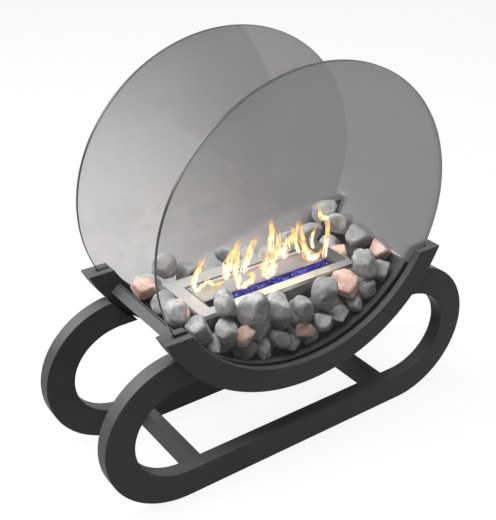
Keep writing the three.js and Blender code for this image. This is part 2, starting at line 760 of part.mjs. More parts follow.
function stoneGeometry(stone, stones) {
  const { centre, radius } = stone;
  const planes = wallsAround(stone);
  for (const other of stones) {
    if (other === stone) continue;
    const fused = stone.bed && stone.bed === other.bed;
    const plane = planeBetween(stone, other, fused ? -BED_FUSION : GAP);
    if (plane.distance < (radius + other.radius) * NEIGHBOURS_WITHIN) planes.push(plane);
  }
  const turn = new THREE.Quaternion().setFromEuler(
    new THREE.Euler(between(0, Math.PI * 2), between(0, Math.PI * 2), between(0, Math.PI * 2)),
  );
  const axes = [1 + STONE_SQUASH, 1, 1 - STONE_SQUASH];
  const unturned = turn.clone().invert();
  const roundReach = (direction) => {
    const d = direction.clone().applyQuaternion(unturned);
    return radius / Math.hypot(d.x / axes[0], d.y / axes[1], d.z / axes[2]);
  };
  const freeReach = (direction) =>
    planes.reduce((reach, { normal, limit }) => {
      const facing = normal.dot(direction);
      return facing > 1e-6 ? Math.min(reach, (limit - normal.dot(centre)) / facing) : reach;
    }, Infinity);
  const points = [];
  const add = (direction, reach) => points.push(centre.clone().addScaledVector(direction, reach));
  for (const direction of spreadDirections(STONE_DIRECTIONS, turn)) {
    const lump = 1 + between(-STONE_LUMP, STONE_LUMP);
    add(direction, Math.min(roundReach(direction) * lump, freeReach(direction)));
  }
  // It reaches each neighbour and wall that it leans on.
  for (const { normal } of planes) {
    const reach = freeReach(normal);
    if (reach < radius * LEANS_WITHIN) add(normal, reach);
  }
  return new ConvexGeometry(points);
}

// About where the pink stones lie.
const PINK_PLACES = [
  [-203, 56, 285],
  [-188, -14, 282],
  [-105, -83, 255],
  [-10, -95, 205],
  [114, -95, 234],
  [207, -43, 290],
  [171, 15, 285],
];

function namedStones() {
  const stones = tippedStones();
  settle(stones);
  const beds = BEDS.map((bed) => [bed.name, gatherBed(stones, bed)]);
  const grey = new Set(stones.filter(({ bed }) => !bed));
  const named = PINK_PLACES.map(([x, y, z], i) => {
    const wanted = new THREE.Vector3(x, y, z);
    const far = ({ centre }) => centre.distanceTo(wanted);
    const nearest = [...grey].reduce((best, stone) => (far(stone) < far(best) ? stone : best));
    grey.delete(nearest);
    return [`pink_stone_${i + 1}`, stoneGeometry(nearest, stones), PINK_STONE];
  });
  [...grey].forEach((stone, i) => {
    named.push([`grey_stone_${String(i + 1).padStart(2, "0")}`, stoneGeometry(stone, stones), GREY_STONE]);
  });
  for (const [name, bed] of beds) {
    named.push([name, joined(...bed.map((stone) => stoneGeometry(stone, stones))), GREY_STONE]);
  }
  return named;
}

// ---------------------------------------------------------------- assembly

const fireplace = new THREE.Group();

function place(name, geometry, material, x = 0, y = 0, z = 0) {
  const mesh = new THREE.Mesh(geometry, material);
  mesh.name = name;
  mesh.position.set(x, y, z);
  fireplace.add(mesh);
  return mesh;
}

for (const [end, side] of [["front", -1], ["rear", 1]]) {
  place(`${end}_arc`, arc(), BLACK_STEEL, 0, side * PANE_Y, 0);
  place(`${end}_seal`, seal(), SILICONE, 0, side * PANE_Y, 0);
  place(`${end}_pane`, pane(), SMOKED_GLASS, 0, side * PANE_Y, PANE_CENTRE_HEIGHT);
  place(`${end}_runner`, runner(), BLACK_STEEL, 0, (side * (RUNNER_OUTER_Y + RUNNER_INNER_Y)) / 2, 0);
  place(`burner_support_${end}`, burnerSupport(side), BLACK_STEEL);
}
place("tray", tray(), BLACK_STEEL);

for (const [hand, side] of [["left", -1], ["right", 1]]) {
  const lower = crossbar(2 * (RUNNER_INNER_Y - GAP));
  const lowerHeight = LOWER_BAR_LIFT + BAR_HEIGHT / 2;
  place(`lower_crossbar_${hand}`, lower, BLACK_STEEL, side * LOWER_BAR_OFFSET, 0, lowerHeight);

  const angle = angleAtHeight(TRAY_OUTSIDE, UPPER_BAR_LEVEL);
  const [x, z] = onBowl(TRAY_OUTSIDE, angle);
  const [nx, nz] = outwardNormal(TRAY_OUTSIDE, angle);
  const out = GAP + BAR_THICKNESS / 2;
  const upper = place(
    `upper_crossbar_${hand}`,
    crossbar(2 * (ARC_INNER_Y - GAP)),
    BLACK_STEEL,
    side * (x + nx * out),
    0,
    z + nz * out,
  );
  upper.rotation.y = side * Math.atan2(-nz, nx);

  place(`damper_rail_${hand}`, damperRail(side), STAINLESS);
}

place("burner_tank", burnerTank(), STAINLESS);
place("burner_plate", burnerPlate(), STAINLESS);
place("damper", damper(), STAINLESS);
place("ceramic_wool", ceramicWool(), CERAMIC_WOOL);

for (const [name, geometry, material] of namedStones()) place(name, geometry, material);

export default fireplace;
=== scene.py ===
"""Dresses the bioethanol fireplace: two round panes of smoked glass in a pair of cradle arcs on
sled runners, with a stainless burner in a bed of tumbled stones between them.

Metres, +Z up, X along the runners, Y from the front pane to the rear one."""

import json
import math
import random

import bmesh
import bpy
import numpy as np
from bpy.props import FloatProperty, FloatVectorProperty, IntProperty, PointerProperty
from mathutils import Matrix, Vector, noise

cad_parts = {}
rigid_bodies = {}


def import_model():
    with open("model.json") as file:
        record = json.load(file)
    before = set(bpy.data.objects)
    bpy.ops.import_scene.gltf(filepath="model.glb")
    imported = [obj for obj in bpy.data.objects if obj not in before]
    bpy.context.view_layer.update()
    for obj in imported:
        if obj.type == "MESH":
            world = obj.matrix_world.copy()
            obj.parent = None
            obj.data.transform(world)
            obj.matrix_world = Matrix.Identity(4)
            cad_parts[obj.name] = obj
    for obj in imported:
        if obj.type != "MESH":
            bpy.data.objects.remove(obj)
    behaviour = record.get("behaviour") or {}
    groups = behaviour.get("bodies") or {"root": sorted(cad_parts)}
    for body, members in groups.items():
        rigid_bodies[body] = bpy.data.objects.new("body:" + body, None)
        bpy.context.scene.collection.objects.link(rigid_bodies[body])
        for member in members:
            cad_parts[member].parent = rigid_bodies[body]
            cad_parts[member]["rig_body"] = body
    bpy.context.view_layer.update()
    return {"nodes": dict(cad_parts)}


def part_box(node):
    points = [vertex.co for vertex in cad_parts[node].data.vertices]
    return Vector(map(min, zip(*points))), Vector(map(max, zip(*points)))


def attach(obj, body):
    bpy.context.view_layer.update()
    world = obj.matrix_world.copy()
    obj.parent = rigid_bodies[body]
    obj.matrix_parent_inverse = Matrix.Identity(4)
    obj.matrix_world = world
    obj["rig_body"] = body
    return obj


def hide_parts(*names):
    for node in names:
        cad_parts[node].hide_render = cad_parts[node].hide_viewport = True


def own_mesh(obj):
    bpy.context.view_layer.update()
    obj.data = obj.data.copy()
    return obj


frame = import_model()

bl_info = {
    "name": "Bioethanol Fireplace",
    "version": (1, 0, 0),
    "blender": (4, 5, 0),
    "location": "3D View > Sidebar > Fireplace",
    "description": "Makes the pieces, finishes, flames and studio of a free-standing glass fireplace",
    "category": "Add Mesh",
}

MM = 0.001

ENDS = {"front": -1, "rear": 1}
HANDS = ("left", "right")
PAINT = "Charcoal powder coat"

# ---------------------------------------------------------------- sizes read from the frame

PANE_LOW, PANE_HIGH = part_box("front_pane")
ARC_LOW, ARC_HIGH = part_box("front_arc")
SEAL_LOW, SEAL_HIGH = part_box("front_seal")
RUNNER_LOW, RUNNER_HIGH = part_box("front_runner")
TRAY_LOW, TRAY_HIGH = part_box("tray")
PLATE_LOW, PLATE_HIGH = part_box("burner_plate")
TANK_LOW, TANK_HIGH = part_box("burner_tank")
WOOL_LOW, WOOL_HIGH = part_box("ceramic_wool")
DAMPER_LOW, DAMPER_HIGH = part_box("damper")

PANE_HALF_WIDTH = (PANE_HIGH.x - PANE_LOW.x) / 2
PANE_HALF_HEIGHT = (PANE_HIGH.z - PANE_LOW.z) / 2
PANE_CENTRE = (PANE_HIGH.z + PANE_LOW.z) / 2
PANE_THICKNESS = PANE_HIGH.y - PANE_LOW.y
PANE_PLACE = -(PANE_HIGH.y + PANE_LOW.y) / 2  # of the rear pane's mid-plane, along Y

ARC_WIDTH = ARC_HIGH.y - ARC_LOW.y
ARC_CONVEX = PANE_LOW.z - ARC_LOW.z  # offsets run outwards from the pane's edge
GAP = 0.3 * MM
CLEARANCE = 1 * MM  # between the stones and what lifts out of them
SLOT_FRONT = PLATE_LOW.y + 18 * MM  # front edge of the burner's mouth, along Y
TRAY_SHEET = 2 * MM
TRAY_OUTSIDE = PANE_LOW.z - TRAY_LOW.z
SEAL_OUTSIDE = PANE_LOW.z - SEAL_LOW.z
SEAL_HALF = (SEAL_HIGH.y - SEAL_LOW.y) / 2


# ---------------------------------------------------------------- settings

def length(name, description, metres):
    return FloatProperty(
        name=name, description=description, default=metres, subtype="DISTANCE", unit="LENGTH"
    )


def colour(name, description, *rgb):
    return FloatVectorProperty(
        name=name, description=description, default=rgb, size=3, subtype="COLOR", min=0, max=1
    )


def amount(name, description, value, low=0.0, high=1.0):
    return FloatProperty(name=name, description=description, default=value, min=low, max=high)


def turn(name, description, degrees):
    radians = math.radians(degrees)
    return FloatProperty(name=name, description=description, default=radians, subtype="ANGLE")


class HEARTH_PG_steel(bpy.types.PropertyGroup):
    """The painted steel stand"""
    paint: colour("Paint", PAINT, 0.056, 0.057, 0.059)
    arc_depth: length("Arc depth", "Depth of a cradle arc, from its hollow face to its outer one", 40 * MM)
    groove_depth: length("Groove depth", "Depth of the groove below the pane's edge", 1.8 * MM)
    bar_depth: length("Bar depth", "Depth of a runner's bar, seen from the front", 49.5 * MM)
    straight: length("Straight", "Length of a runner's straight foot", 446 * MM)
    runner_height: length("Runner height", "Height of a runner, before the arc cuts into it", 263 * MM)
    edge: length("Edge", "How far the edges of the arcs and runners are rounded", 0.9 * MM)
    sheet_edge: length("Sheet edge", "How far the edges of the tray and crossbars are rounded", 0.5 * MM)
    seal_edge: length("Seal edge", "How far the edges of the seals are rounded", 0.2 * MM)
    steps: IntProperty(name="Steps", description="Steps round the bowl", default=112, min=16)


class HEARTH_PG_glass(bpy.types.PropertyGroup):
    """The smoked panes"""
    tint: colour("Tint", "Colour of the smoked glass", 0.49, 0.468, 0.472)
    dense: amount("Dense", "How much a pane hides where it is smoked most, at the top right", 0.955)
    pale: amount("Pale", "How much the rear pane hides at the bottom left", 0.50)
    front_pale: amount("Front pale", "How much the front pane hides at the bottom left", 0.24)
    clear: amount("Clear", "How much a pane hides where it is clear, by the fire", 0.06)
    lets_light_in: amount("Lets light in", "Share of the smoke that lamps shine through", 0.85)
    ground: colour("Ground edge", "Colour of the ground edge", 0.012, 0.013, 0.013)
    arris: length("Arris", "Width of the ground chamfers", 0.8 * MM)
    sides: IntProperty(name="Sides", description="Sides of a pane's outline", default=224, min=32)


class HEARTH_PG_burner(bpy.types.PropertyGroup):
    """The stainless burner"""
    steel: colour("Steel", "Brushed stainless steel", 0.58, 0.58, 0.565)
    straw: colour("Straw", "Heat tint in front of the fire slot", 0.95, 0.93, 0.80)
    # a darker steel towards the right end of the plate and of the damper
    darker_right: colour("Darker right", "Darker steel at the right end", 0.07, 0.066, 0.064)
    rosy: colour("Rosy", "Heat tint of the damper", 0.56, 0.50, 0.51)
    soot: colour("Soot", "Dark film where the fire licks the steel", 0.16, 0.13, 0.125)
    wool: colour("Wool", "Ceramic wool in the tank", 0.74, 0.71, 0.65)
    edge: length("Edge", "How far the sheet's edges are rounded", 0.35 * MM)
    fibres: IntProperty(name="Fibres", description="Loose fibres on the wool", default=1400, min=0)


class HEARTH_PG_stones(bpy.types.PropertyGroup):
    """The bed of tumbled stones"""
    grey: colour("Grey", "Grey stone", 0.36, 0.36, 0.355)
    pink: colour("Pink", "Pink stone", 0.70, 0.44, 0.36)
    crispness: amount("Crispness", "How crisp the edges between a stone's faces are", 80.0, 4.0, 90.0)
    chips: IntProperty(name="Chips", description="Flat faces knocked off each stone", default=9, min=0)
    lump: amount("Lump", "Unevenness, as a share of a stone's size", 0.07)
    swell: amount("Swell", "Size of a stone, as a share of the frame's", 1.2, 0.5, 1.5)
    detail: IntProperty(name="Detail", description="How finely a stone is divided", default=4, min=2, max=5)


class HEARTH_PG_fire(bpy.types.PropertyGroup):
    """The flames"""
    tip: colour("Tip", "Outer skin of a flame", 1.0, 0.28, 0.06)
    body: colour("Body", "Body of a flame", 1.0, 0.60, 0.17)
    heart: colour("Heart", "Hottest part of a flame", 1.0, 0.93, 0.74)
    root: colour("Root", "Blue at the fire slot", 0.05, 0.04, 0.30)
    strength: amount("Strength", "Brightness of the flames", 1.7, 0.0, 20.0)
    roots: IntProperty(name="Roots", description="Blue flames in the slot", default=70, min=1)
    left: amount("Left after shutting", "Share of a flame's height left when the damper shuts", 0.01)


class HEARTH_PG_studio(bpy.types.PropertyGroup):
    """Floor, lights and camera"""
    azimuth: turn("Azimuth", "Camera's place round the fireplace, from straight in front", -35.13)
    elevation: turn("Elevation", "Camera's angle above the floor", 28.46)
    distance: length("Distance", "From the camera to what it aims at", 1.49899)
    aim: FloatVectorProperty(
        name="Aim",
        description="What the camera aims at",
        default=(-0.03312, 0, 0.31529),
        subtype="TRANSLATION",
    )
    lens: FloatProperty(name="Lens", description="Focal length in millimetres", default=63.93, min=1)
    overhead: amount("Overhead", "Power of the softbox overhead, in watts", 100.0, 0.0, 1000.0)
    side: amount("Side", "Power of the softbox behind at the left, in watts", 44.0, 0.0, 1000.0)
    room: amount("Room", "Brightness of the room's light on the object", 0.14, 0.0, 4.0)
    floor_shadow: amount("Floor shadow", "How much of the floor's own shading shows", 0.10)
    floor_bounce: amount("Floor bounce", "Share of the light that the floor throws back", 0.24)


SETTINGS = {
    "hearth_steel": HEARTH_PG_steel,
    "hearth_glass": HEARTH_PG_glass,
    "hearth_burner": HEARTH_PG_burner,
    "hearth_stones": HEARTH_PG_stones,
    "hearth_fire": HEARTH_PG_fire,
    "hearth_studio": HEARTH_PG_studio,
}


# ---------------------------------------------------------------- node trees

class Socket:
    """An output of a node, so that maths on it reads as Python."""

    def __init__(self, tree, node, output):
        self.tree = tree
        self.node = node
        self.output = output

    def __getitem__(self, name):
        return Socket(self.tree, self.node, self.node.outputs[name])

    def __add__(self, other):
        return self.tree.maths("ADD", self, other)

    def __sub__(self, other):
        return self.tree.maths("SUBTRACT", self, other)

    def __rsub__(self, other):
        return self.tree.maths("SUBTRACT", other, self)

    def __mul__(self, other):
        return self.tree.maths("MULTIPLY", self, other)

    def __truediv__(self, other):
        return self.tree.maths("DIVIDE", self, other)

    def __pow__(self, other):
        return self.tree.maths("POWER", self, other)

    __radd__ = __add__
    __rmul__ = __mul__


class Tree:
    """A shader or geometry tree, with one way to add any node."""

    def __init__(self, nodes):
        self.nodes = nodes.nodes
        self.links = nodes.links

    def add(self, kind, sockets=None, **settings):
        """Adds a node, makes its settings and then sets or links its sockets."""
        node = self.nodes.new(kind)
        for name, value in settings.items():
            setattr(node, name, value)
        for key, value in (sockets or {}).items():
            target = node.inputs[key]
            if isinstance(value, Socket):
                self.links.new(value.output, target)
            else:
                target.default_value = value
        return Socket(self, node, node.outputs[0] if node.outputs else None)

    def maths(self, operation, *values):
        return self.add("ShaderNodeMath", dict(enumerate(values)), operation=operation)

    def parts(self, vector):
        split = self.add("ShaderNodeSeparateXYZ", {"Vector": vector})
        return split["X"], split["Y"], split["Z"]

    def noise(self, where, scale, detail=2.0, roughness=0.5):
        sockets = {"Vector": where, "Scale": scale, "Detail": detail, "Roughness": roughness}
        return self.add("ShaderNodeTexNoise", sockets)

    def stretched(self, where, *scale):
        return self.add("ShaderNodeMapping", {"Vector": where, "Scale": scale})

    def spread(self, value, low, high, to_low=0.0, to_high=1.0):
        """Eases from one number to another while a value runs from low to high."""
        sockets = {"Value": value, "From Min": low, "From Max": high, "To Min": to_low, "To Max": to_high}
        return self.add("ShaderNodeMapRange", sockets, interpolation_type="SMOOTHSTEP", clamp=True)

    def blend(self, share, a, b, how="MIX"):
        a = (*a, 1.0) if isinstance(a, tuple) else a
        b = (*b, 1.0) if isinstance(b, tuple) else b
        sockets = {0: share, 6: a, 7: b}  # the numbers of the factor and of the two colours
        return self.add("ShaderNodeMix", sockets, data_type="RGBA", blend_type=how)["Result"]

    def bump(self, height, strength, distance):
        return self.add("ShaderNodeBump", {"Height": height, "Strength": strength, "Distance": distance})


class Finish(Tree):
    """A material on its way, whose patterns follow the places of the piece's own points."""

    def __init__(self, name):
        self.material = bpy.data.materials.new(name)
        self.material.use_nodes = True
        super().__init__(self.material.node_tree)
        self.nodes.clear()
        self.place = self.add("ShaderNodeTexCoord")["Object"]

    def axes(self):
        return self.parts(self.place)

    def attribute(self, name):
        return self.add("ShaderNodeAttribute", attribute_name=name)["Fac"]

    def gloss(self, pattern, low, high):
        """Roughness that follows a noise pattern."""
        return self.spread(pattern, 0.3, 0.7, low, high)

    def flecked(self, pattern, rgb, darker, lighter):
        """A colour that is darker and lighter by turns, after a noise pattern."""
        return self.blend(self.spread(pattern, 0.3, 0.7), shaded(rgb, darker), shaded(rgb, lighter))

    def brushing(self):
        """Fine lines along X."""
        return self.noise(self.stretched(self.place, 14.0, 2600.0, 1500.0), 1.0, 2.0, 0.6)

    def ends_in(self, shader):
        self.add("ShaderNodeOutputMaterial", {"Surface": shader})
        return self.material

    def surface(self, **sockets):
        named = {key.replace("_", " "): value for key, value in sockets.items()}
        return self.ends_in(self.add("ShaderNodeBsdfPrincipled", named))

    def glowing(self, colour_now, strength, seen, base=(0.0, 0.0, 0.0)):
        """Something that gives light, and hides what is behind it as far as it is seen."""
        return self.surface(
            Base_Color=(*base, 1.0),
            Roughness=1.0,
            Specular_IOR_Level=0.0,
            Emission_Color=colour_now,
            Emission_Strength=strength,
            Alpha=seen,
        )


class Maker(Tree):
    """A geometry tree on its way, which ends in real faces with the finish that it is given."""

    def __init__(self, name, **inputs):
        self.group = bpy.data.node_groups.new(name, "GeometryNodeTree")
        super().__init__(self.group)
        for port, kind in inputs.items():
            self.port("INPUT", port.replace("_", " "), kind)
        self.port("INPUT", "Finish", "Material")
        self.port("OUTPUT", "Piece", "Geometry")
        self.given = self.add("NodeGroupInput")

    def port(self, way, name, kind):
        self.group.interface.new_socket(name, in_out=way, socket_type=f"NodeSocket{kind}")

    def vary(self, low, high, seed):
        """A random vector for each copy."""
        sockets = {"Min": low, "Max": high, "Seed": seed}
        return self.add("FunctionNodeRandomValue", sockets, data_type="FLOAT_VECTOR")

    def ends_in(self, shape):
        real = self.add("GeometryNodeRealizeInstances", {"Geometry": shape})
        painted = self.add("GeometryNodeSetMaterial", {"Geometry": real, "Material": self.given["Finish"]})
        self.add("NodeGroupOutput", {"Piece": painted})
        return self.group


def plain(rgb):
    return tuple(rgb)


def shaded(rgb, factor):
    return tuple(min(1.0, channel * factor) for channel in rgb)


# ---------------------------------------------------------------- finishes

TINTED = 0.65  # how metallic heat-tinted steel is, under its oxide
SMOKE_SLANT = 0.75  # how steeply the smoke of the panes thickens upwards, against rightwards
SMOKE_RUN = {"front": (-0.34, 0.15), "rear": (-0.38, 0.20)}  # from its pale end to its dense one
WINDOW_TOP = 0.448  # of the front pane's clear window by the fire, above the floor
WINDOW_MIDDLE = 0.03  # where it is highest
WINDOW_CROWN = 0.55  # how much its top curves down to both sides
WINDOW_RIGHT = 0.063  # where its top steps down to the stones
WINDOW_LEAN = 0.6  # how much that step leans to the right
WINDOW_SIDE = 0.412  # its height at the right of the step
WINDOW_FALL = 0.85  # how steeply it falls from there
WINDOW_INSIDE = 4 * MM  # how far its soft edge runs in
WINDOW_OUTSIDE = 12 * MM  # and out, left of the step
WINDOW_CRISP = 6 * MM  # by how much less it runs out at the right of the step


def charcoal_paint(steel):
    """Matt powder coat: a fine orange-peel, paler along the edges as a painted highlight, and paler where it
    faces up as painted light from above.
    """
    finish = Finish(PAINT)
    paint = plain(steel.paint)
    clouds = finish.noise(finish.place, 9.0, 4.0, 0.6)
    peel = finish.noise(finish.place, 900.0, 2.0)
    dust = finish.noise(finish.place, 2600.0, 1.0)
    surface = finish.add("ShaderNodeNewGeometry")
    edge = finish.spread(surface["Pointiness"], 0.53, 0.62)
    _, _, upwards = finish.parts(surface["Normal"])
    base = finish.blend(finish.spread(clouds, 0.35, 0.7), shaded(paint, 0.86), shaded(paint, 1.14))
    # painted highlight: the sharp outer edges are painted paler, as if they catch the light
    base = finish.blend(edge * 0.35, base, shaded(paint, 1.8))
    base = finish.blend(finish.spread(dust, 0.62, 0.8) * 0.25, base, shaded(paint, 1.5))
    # painted light: faces that look up are painted paler, as if lit from above
    base = finish.blend(finish.spread(upwards, 0.45, 0.8) * 0.6, base, shaded(paint, 1.6))
    gloss = finish.spread(clouds, 0.3, 0.75, 0.44, 0.56) + (peel - 0.5) * 0.08
    relief = finish.bump(peel, 0.22, 0.12 * MM)
    return finish.surface(
        Base_Color=base, Roughness=gloss, Normal=relief, Metallic=0.0, Specular_IOR_Level=0.16
    )


def smoked_glass(glass, end):
    """Smoked float glass, denser upwards and to the right; the front pane is clear by the fire."""
    finish = Finish(f"Smoked glass, {end} pane")
    x, _, z = finish.axes()
    pale = glass.front_pale if end == "front" else glass.pale
    slant = x + (z - PANE_CENTRE) * SMOKE_SLANT
    hides = finish.spread(slant, *SMOKE_RUN[end], pale, glass.dense)
    if end == "front":
        crown = WINDOW_TOP - (x - WINDOW_MIDDLE) * (x - WINDOW_MIDDLE) * WINDOW_CROWN
        side = WINDOW_SIDE - (x - WINDOW_RIGHT) * WINDOW_FALL
        step = x - WINDOW_RIGHT - (z - WINDOW_TOP) * WINDOW_LEAN
        past = finish.spread(step, -WINDOW_INSIDE, WINDOW_INSIDE)
        over = z - (crown + (side - crown) * past)
        window = finish.spread(over, -WINDOW_INSIDE, WINDOW_OUTSIDE - past * WINDOW_CRISP, 1.0, 0.0)
        hides = hides * (1 - window) + window * glass.clear
    path = finish.add("ShaderNodeLightPath")
    lets_light_in = (path["Is Shadow Ray"] + path["Is Diffuse Ray"]) * glass.lets_light_in
    each_face = (1 - (1 - hides) ** 0.5) * (1 - lets_light_in)  # a ray crosses two faces
    haze = finish.noise(finish.place, 7.0, 3.0)
    wiped = finish.noise(finish.stretched(finish.place, 1.0, 1.0, 0.25), 26.0, 3.0)
    tint = finish.flecked(haze, glass.tint, 0.97, 1.03)
    gloss = finish.spread(wiped, 0.4, 0.8, 0.008, 0.02)
    return finish.surface(Base_Color=tint, Roughness=gloss, Alpha=each_face, IOR=1.9)


def ground_edge(glass):
    finish = Finish("Ground glass edge")
    grind = finish.noise(finish.place, 1500.0, 2.0)
    edge = finish.blend(grind, shaded(glass.ground, 0.7), shaded(glass.ground, 1.6))
    relief = finish.bump(grind, 0.3, 0.05 * MM)
    return finish.surface(Base_Color=edge, Roughness=finish.gloss(grind, 0.22, 0.42), Normal=relief)


def black_silicone():
    finish = Finish("Black silicone")
    grain = finish.noise(finish.place, 700.0, 3.0)
    base = finish.blend(grain, (0.034, 0.034, 0.035), (0.05, 0.05, 0.052))
    relief = finish.bump(grain, 0.2, 0.1 * MM)
    gloss = finish.gloss(grain, 0.6, 0.78)
    return finish.surface(Base_Color=base, Roughness=gloss, Normal=relief, Specular_IOR_Level=0.12)


def brushed_steel(burner):
    """Stainless sheet, brushed along its length, straw-tinted by the fire and darker to the right."""
    finish = Finish("Brushed stainless steel")
    x, y, _ = finish.axes()
    lines = finish.brushing()
    stain = finish.noise(finish.place, 24.0, 3.0, 0.55)
    base = finish.flecked(lines, burner.steel, 0.96, 1.04)
    from_left = finish.spread(x, -0.02, 0.15)
    # darker towards the right end
    base = finish.blend(from_left * 0.85, base, plain(burner.darker_right))
    before_slot = finish.spread(y, SLOT_FRONT - 4 * MM, SLOT_FRONT + 2 * MM, 1.0, 0.0)
    past_corner = finish.spread(x, PLATE_LOW.x + 20 * MM, PLATE_LOW.x + 60 * MM)
    patchy = finish.spread(stain, 0.36, 0.62, 0.55, 0.95)
    warmed = before_slot * past_corner * (1 - from_left * 0.7) * patchy
    base = finish.blend(warmed, base, plain(burner.straw))
    relief = finish.bump(lines, 0.08, 0.03 * MM)
    gloss = finish.gloss(lines, 0.36, 0.46)
    return finish.surface(Base_Color=base, Metallic=TINTED, Roughness=gloss, Normal=relief)


def tank_steel(burner):
    """Mill-finish sheet, sooted towards the rim."""
    finish = Finish("Mill-finish stainless steel")
    _, _, z = finish.axes()
    stain = finish.noise(finish.place, 40.0, 4.0, 0.6)
    soot = finish.spread(z + (stain - 0.5) * 0.02, TANK_HIGH.z - 22 * MM, TANK_HIGH.z)
    base = finish.blend(soot * 0.8, shaded(burner.steel, 0.8), plain(burner.soot))
    relief = finish.bump(stain, 0.1, 0.2 * MM)
    gloss = finish.gloss(stain, 0.3, 0.5)
    return finish.surface(Base_Color=base, Metallic=1.0, Roughness=gloss, Normal=relief)


def damper_steel(burner):
    """The damper: smoother sheet, warmed to a rosy grey by the fire, with a painted highlight on its lip."""
    finish = Finish("Heat-tinted stainless steel")
    x, y, z = finish.axes()
    lines = finish.brushing()
    from_left = finish.spread(x, -0.12, 0.05)
    base = finish.blend(from_left, shaded(burner.steel, 0.85), plain(burner.rosy))
    # darker towards the right end
    base = finish.blend(finish.spread(x, 0.04, 0.12) * 0.6, base, plain(burner.darker_right))
    edge = finish.spread(y, DAMPER_LOW.y, DAMPER_LOW.y + 10 * MM, 1.0, 0.0)
    base = finish.blend(edge * 0.5, base, (0.30, 0.22, 0.36))
    # painted highlight: the lip is painted near-white, as if fully lit
    lip = finish.spread(z, DAMPER_HIGH.z - 5 * MM, DAMPER_HIGH.z - 3 * MM)
    base = finish.blend(lip, base, (0.86, 0.84, 0.80))
    relief = finish.bump(lines, 0.08, 0.03 * MM)
    gloss = finish.gloss(lines, 0.34, 0.44)
    return finish.surface(Base_Color=base, Metallic=TINTED, Roughness=gloss, Normal=relief)


def wool_fibre(burner):
    finish = Finish("Ceramic wool")
    _, _, z = finish.axes()
    tufts = finish.noise(finish.place, 130.0, 5.0, 0.7)
    strands = finish.noise(finish.stretched(finish.place, 1.0, 3.2, 1.0), 520.0, 3.0)
    scorch = finish.spread(z + (tufts - 0.5) * 0.016, WOOL_HIGH.z - 12 * MM, WOOL_HIGH.z + 2 * MM)
    base = finish.blend(tufts, shaded(burner.wool, 0.74), shaded(burner.wool, 1.1))
    base = finish.blend(scorch * 0.45, base, (0.23, 0.19, 0.16))
    relief = finish.bump(tufts + strands * 0.5, 0.6, 1.2 * MM)
    return finish.surface(Base_Color=base, Roughness=0.95, Normal=relief, Specular_IOR_Level=0.1)


def tumbled_stone(name, body, light, dark):
    """Matt broken rock: each stone its own tone, mottled and dusty, with painted shade in its pits and
    hollows.
    """
    finish = Finish(name)
    shade = finish.attribute("shade")
    hollow = finish.attribute("hollow")
    mottle = finish.noise(finish.place, 38.0, 5.0, 0.62)
    patch = finish.noise(finish.place, 110.0, 4.0, 0.62)
    grain = finish.noise(finish.place, 700.0, 3.0, 0.65)
    pits = finish.add("ShaderNodeTexVoronoi", {"Vector": finish.place, "Scale": 420.0})["Distance"]
    pit = finish.spread(pits, 0.05, 0.32, 1.0, 0.0)
    base = finish.blend(finish.spread(mottle, 0.34, 0.68), plain(dark), plain(light))
    base = finish.blend(finish.spread(patch, 0.38, 0.66) * 0.5, base, plain(body))
    base = finish.blend(1.0, base, finish.blend(shade, (0.72, 0.73, 0.75), (1.2, 1.19, 1.17)), "MULTIPLY")
    base = finish.blend(finish.spread(grain, 0.55, 0.8) * 0.35, base, shaded(light, 1.25))
    # painted shade: the small pits are painted darker
    base = finish.blend(pit * 0.25, base, shaded(dark, 0.6))
    # painted shade: darker along the creases, where shade would fall
    base = finish.blend(hollow * 0.5, base, shaded(dark, 0.55))
    relief = finish.bump(mottle * 0.8 + patch * 0.7 + grain * 0.25 - pit * 0.12, 0.85, 1.4 * MM)
    gloss = finish.gloss(grain, 0.76, 0.93)
    return finish.surface(Base_Color=base, Roughness=gloss, Normal=relief, Specular_IOR_Level=0.2)


def grey_stone(stones):
    grey = stones.grey
    return tumbled_stone("Grey stone", grey, shaded(grey, 1.32), shaded(grey, 0.66))


def pink_stone(stones):
    pink = stones.pink
    return tumbled_stone("Pink stone", pink, (0.86, 0.64, 0.56), shaded(pink, 0.66))


def flame_skin(fire):
    """Burning vapour: orange at its edges and tip, white-yellow at its heart, in rising streaks."""
    finish = Finish("Flame")
    rise = finish.attribute("rise")
    heat = finish.attribute("heat")
    core = finish.attribute("core")
    flow = finish.noise(finish.stretched(finish.place, 1.0, 1.0, 0.28), 210.0, 3.0, 0.6)
    glow = core * 1.25 + heat * 0.45 - rise * 0.85 + flow - 0.5
    colour_now = finish.blend(finish.spread(glow, 0.1, 0.55), plain(fire.tip), plain(fire.body))
    colour_now = finish.blend(finish.spread(glow, 0.55, 1.15), colour_now, plain(fire.heart))
    soft = finish.spread(core, 0.08, 0.8)
    fade = finish.spread(rise, 0.6, 1.0, 1.0, 0.0)
    start = finish.spread(rise, 0.0, 0.1)
    streak = finish.spread(flow + heat * 0.12 + core * 0.06, 0.46, 0.68, 0.1, 1.0)
    return finish.glowing(colour_now, fire.strength, soft * fade * start * streak * 0.92)


def blue_fire(fire):
    """The blue root of the fire, low in the slot and thinner upwards, with pale sparks in it."""
    finish = Finish("Blue root of the fire")
    flow = finish.noise(finish.place, 70.0, 2.0, 0.5)
    spark = finish.spread(finish.noise(finish.place, 330.0, 1.0), 0.64, 0.74)
    _, _, z = finish.axes()
    colour_now = finish.blend(finish.spread(flow, 0.36, 0.6), (0.02, 0.012, 0.16), plain(fire.root))
    colour_now = finish.blend(finish.spread(flow, 0.54, 0.72), colour_now, (0.16, 0.17, 0.66))
    colour_now = finish.blend(spark, colour_now, (0.72, 0.76, 1.0))
    seen = finish.spread(z, ROOTS_HEIGHT + 1 * MM, ROOTS_HEIGHT + 5.5 * MM, 0.85, 0.15)
    return finish.glowing(colour_now, 1.1, seen, (0.002, 0.002, 0.01))


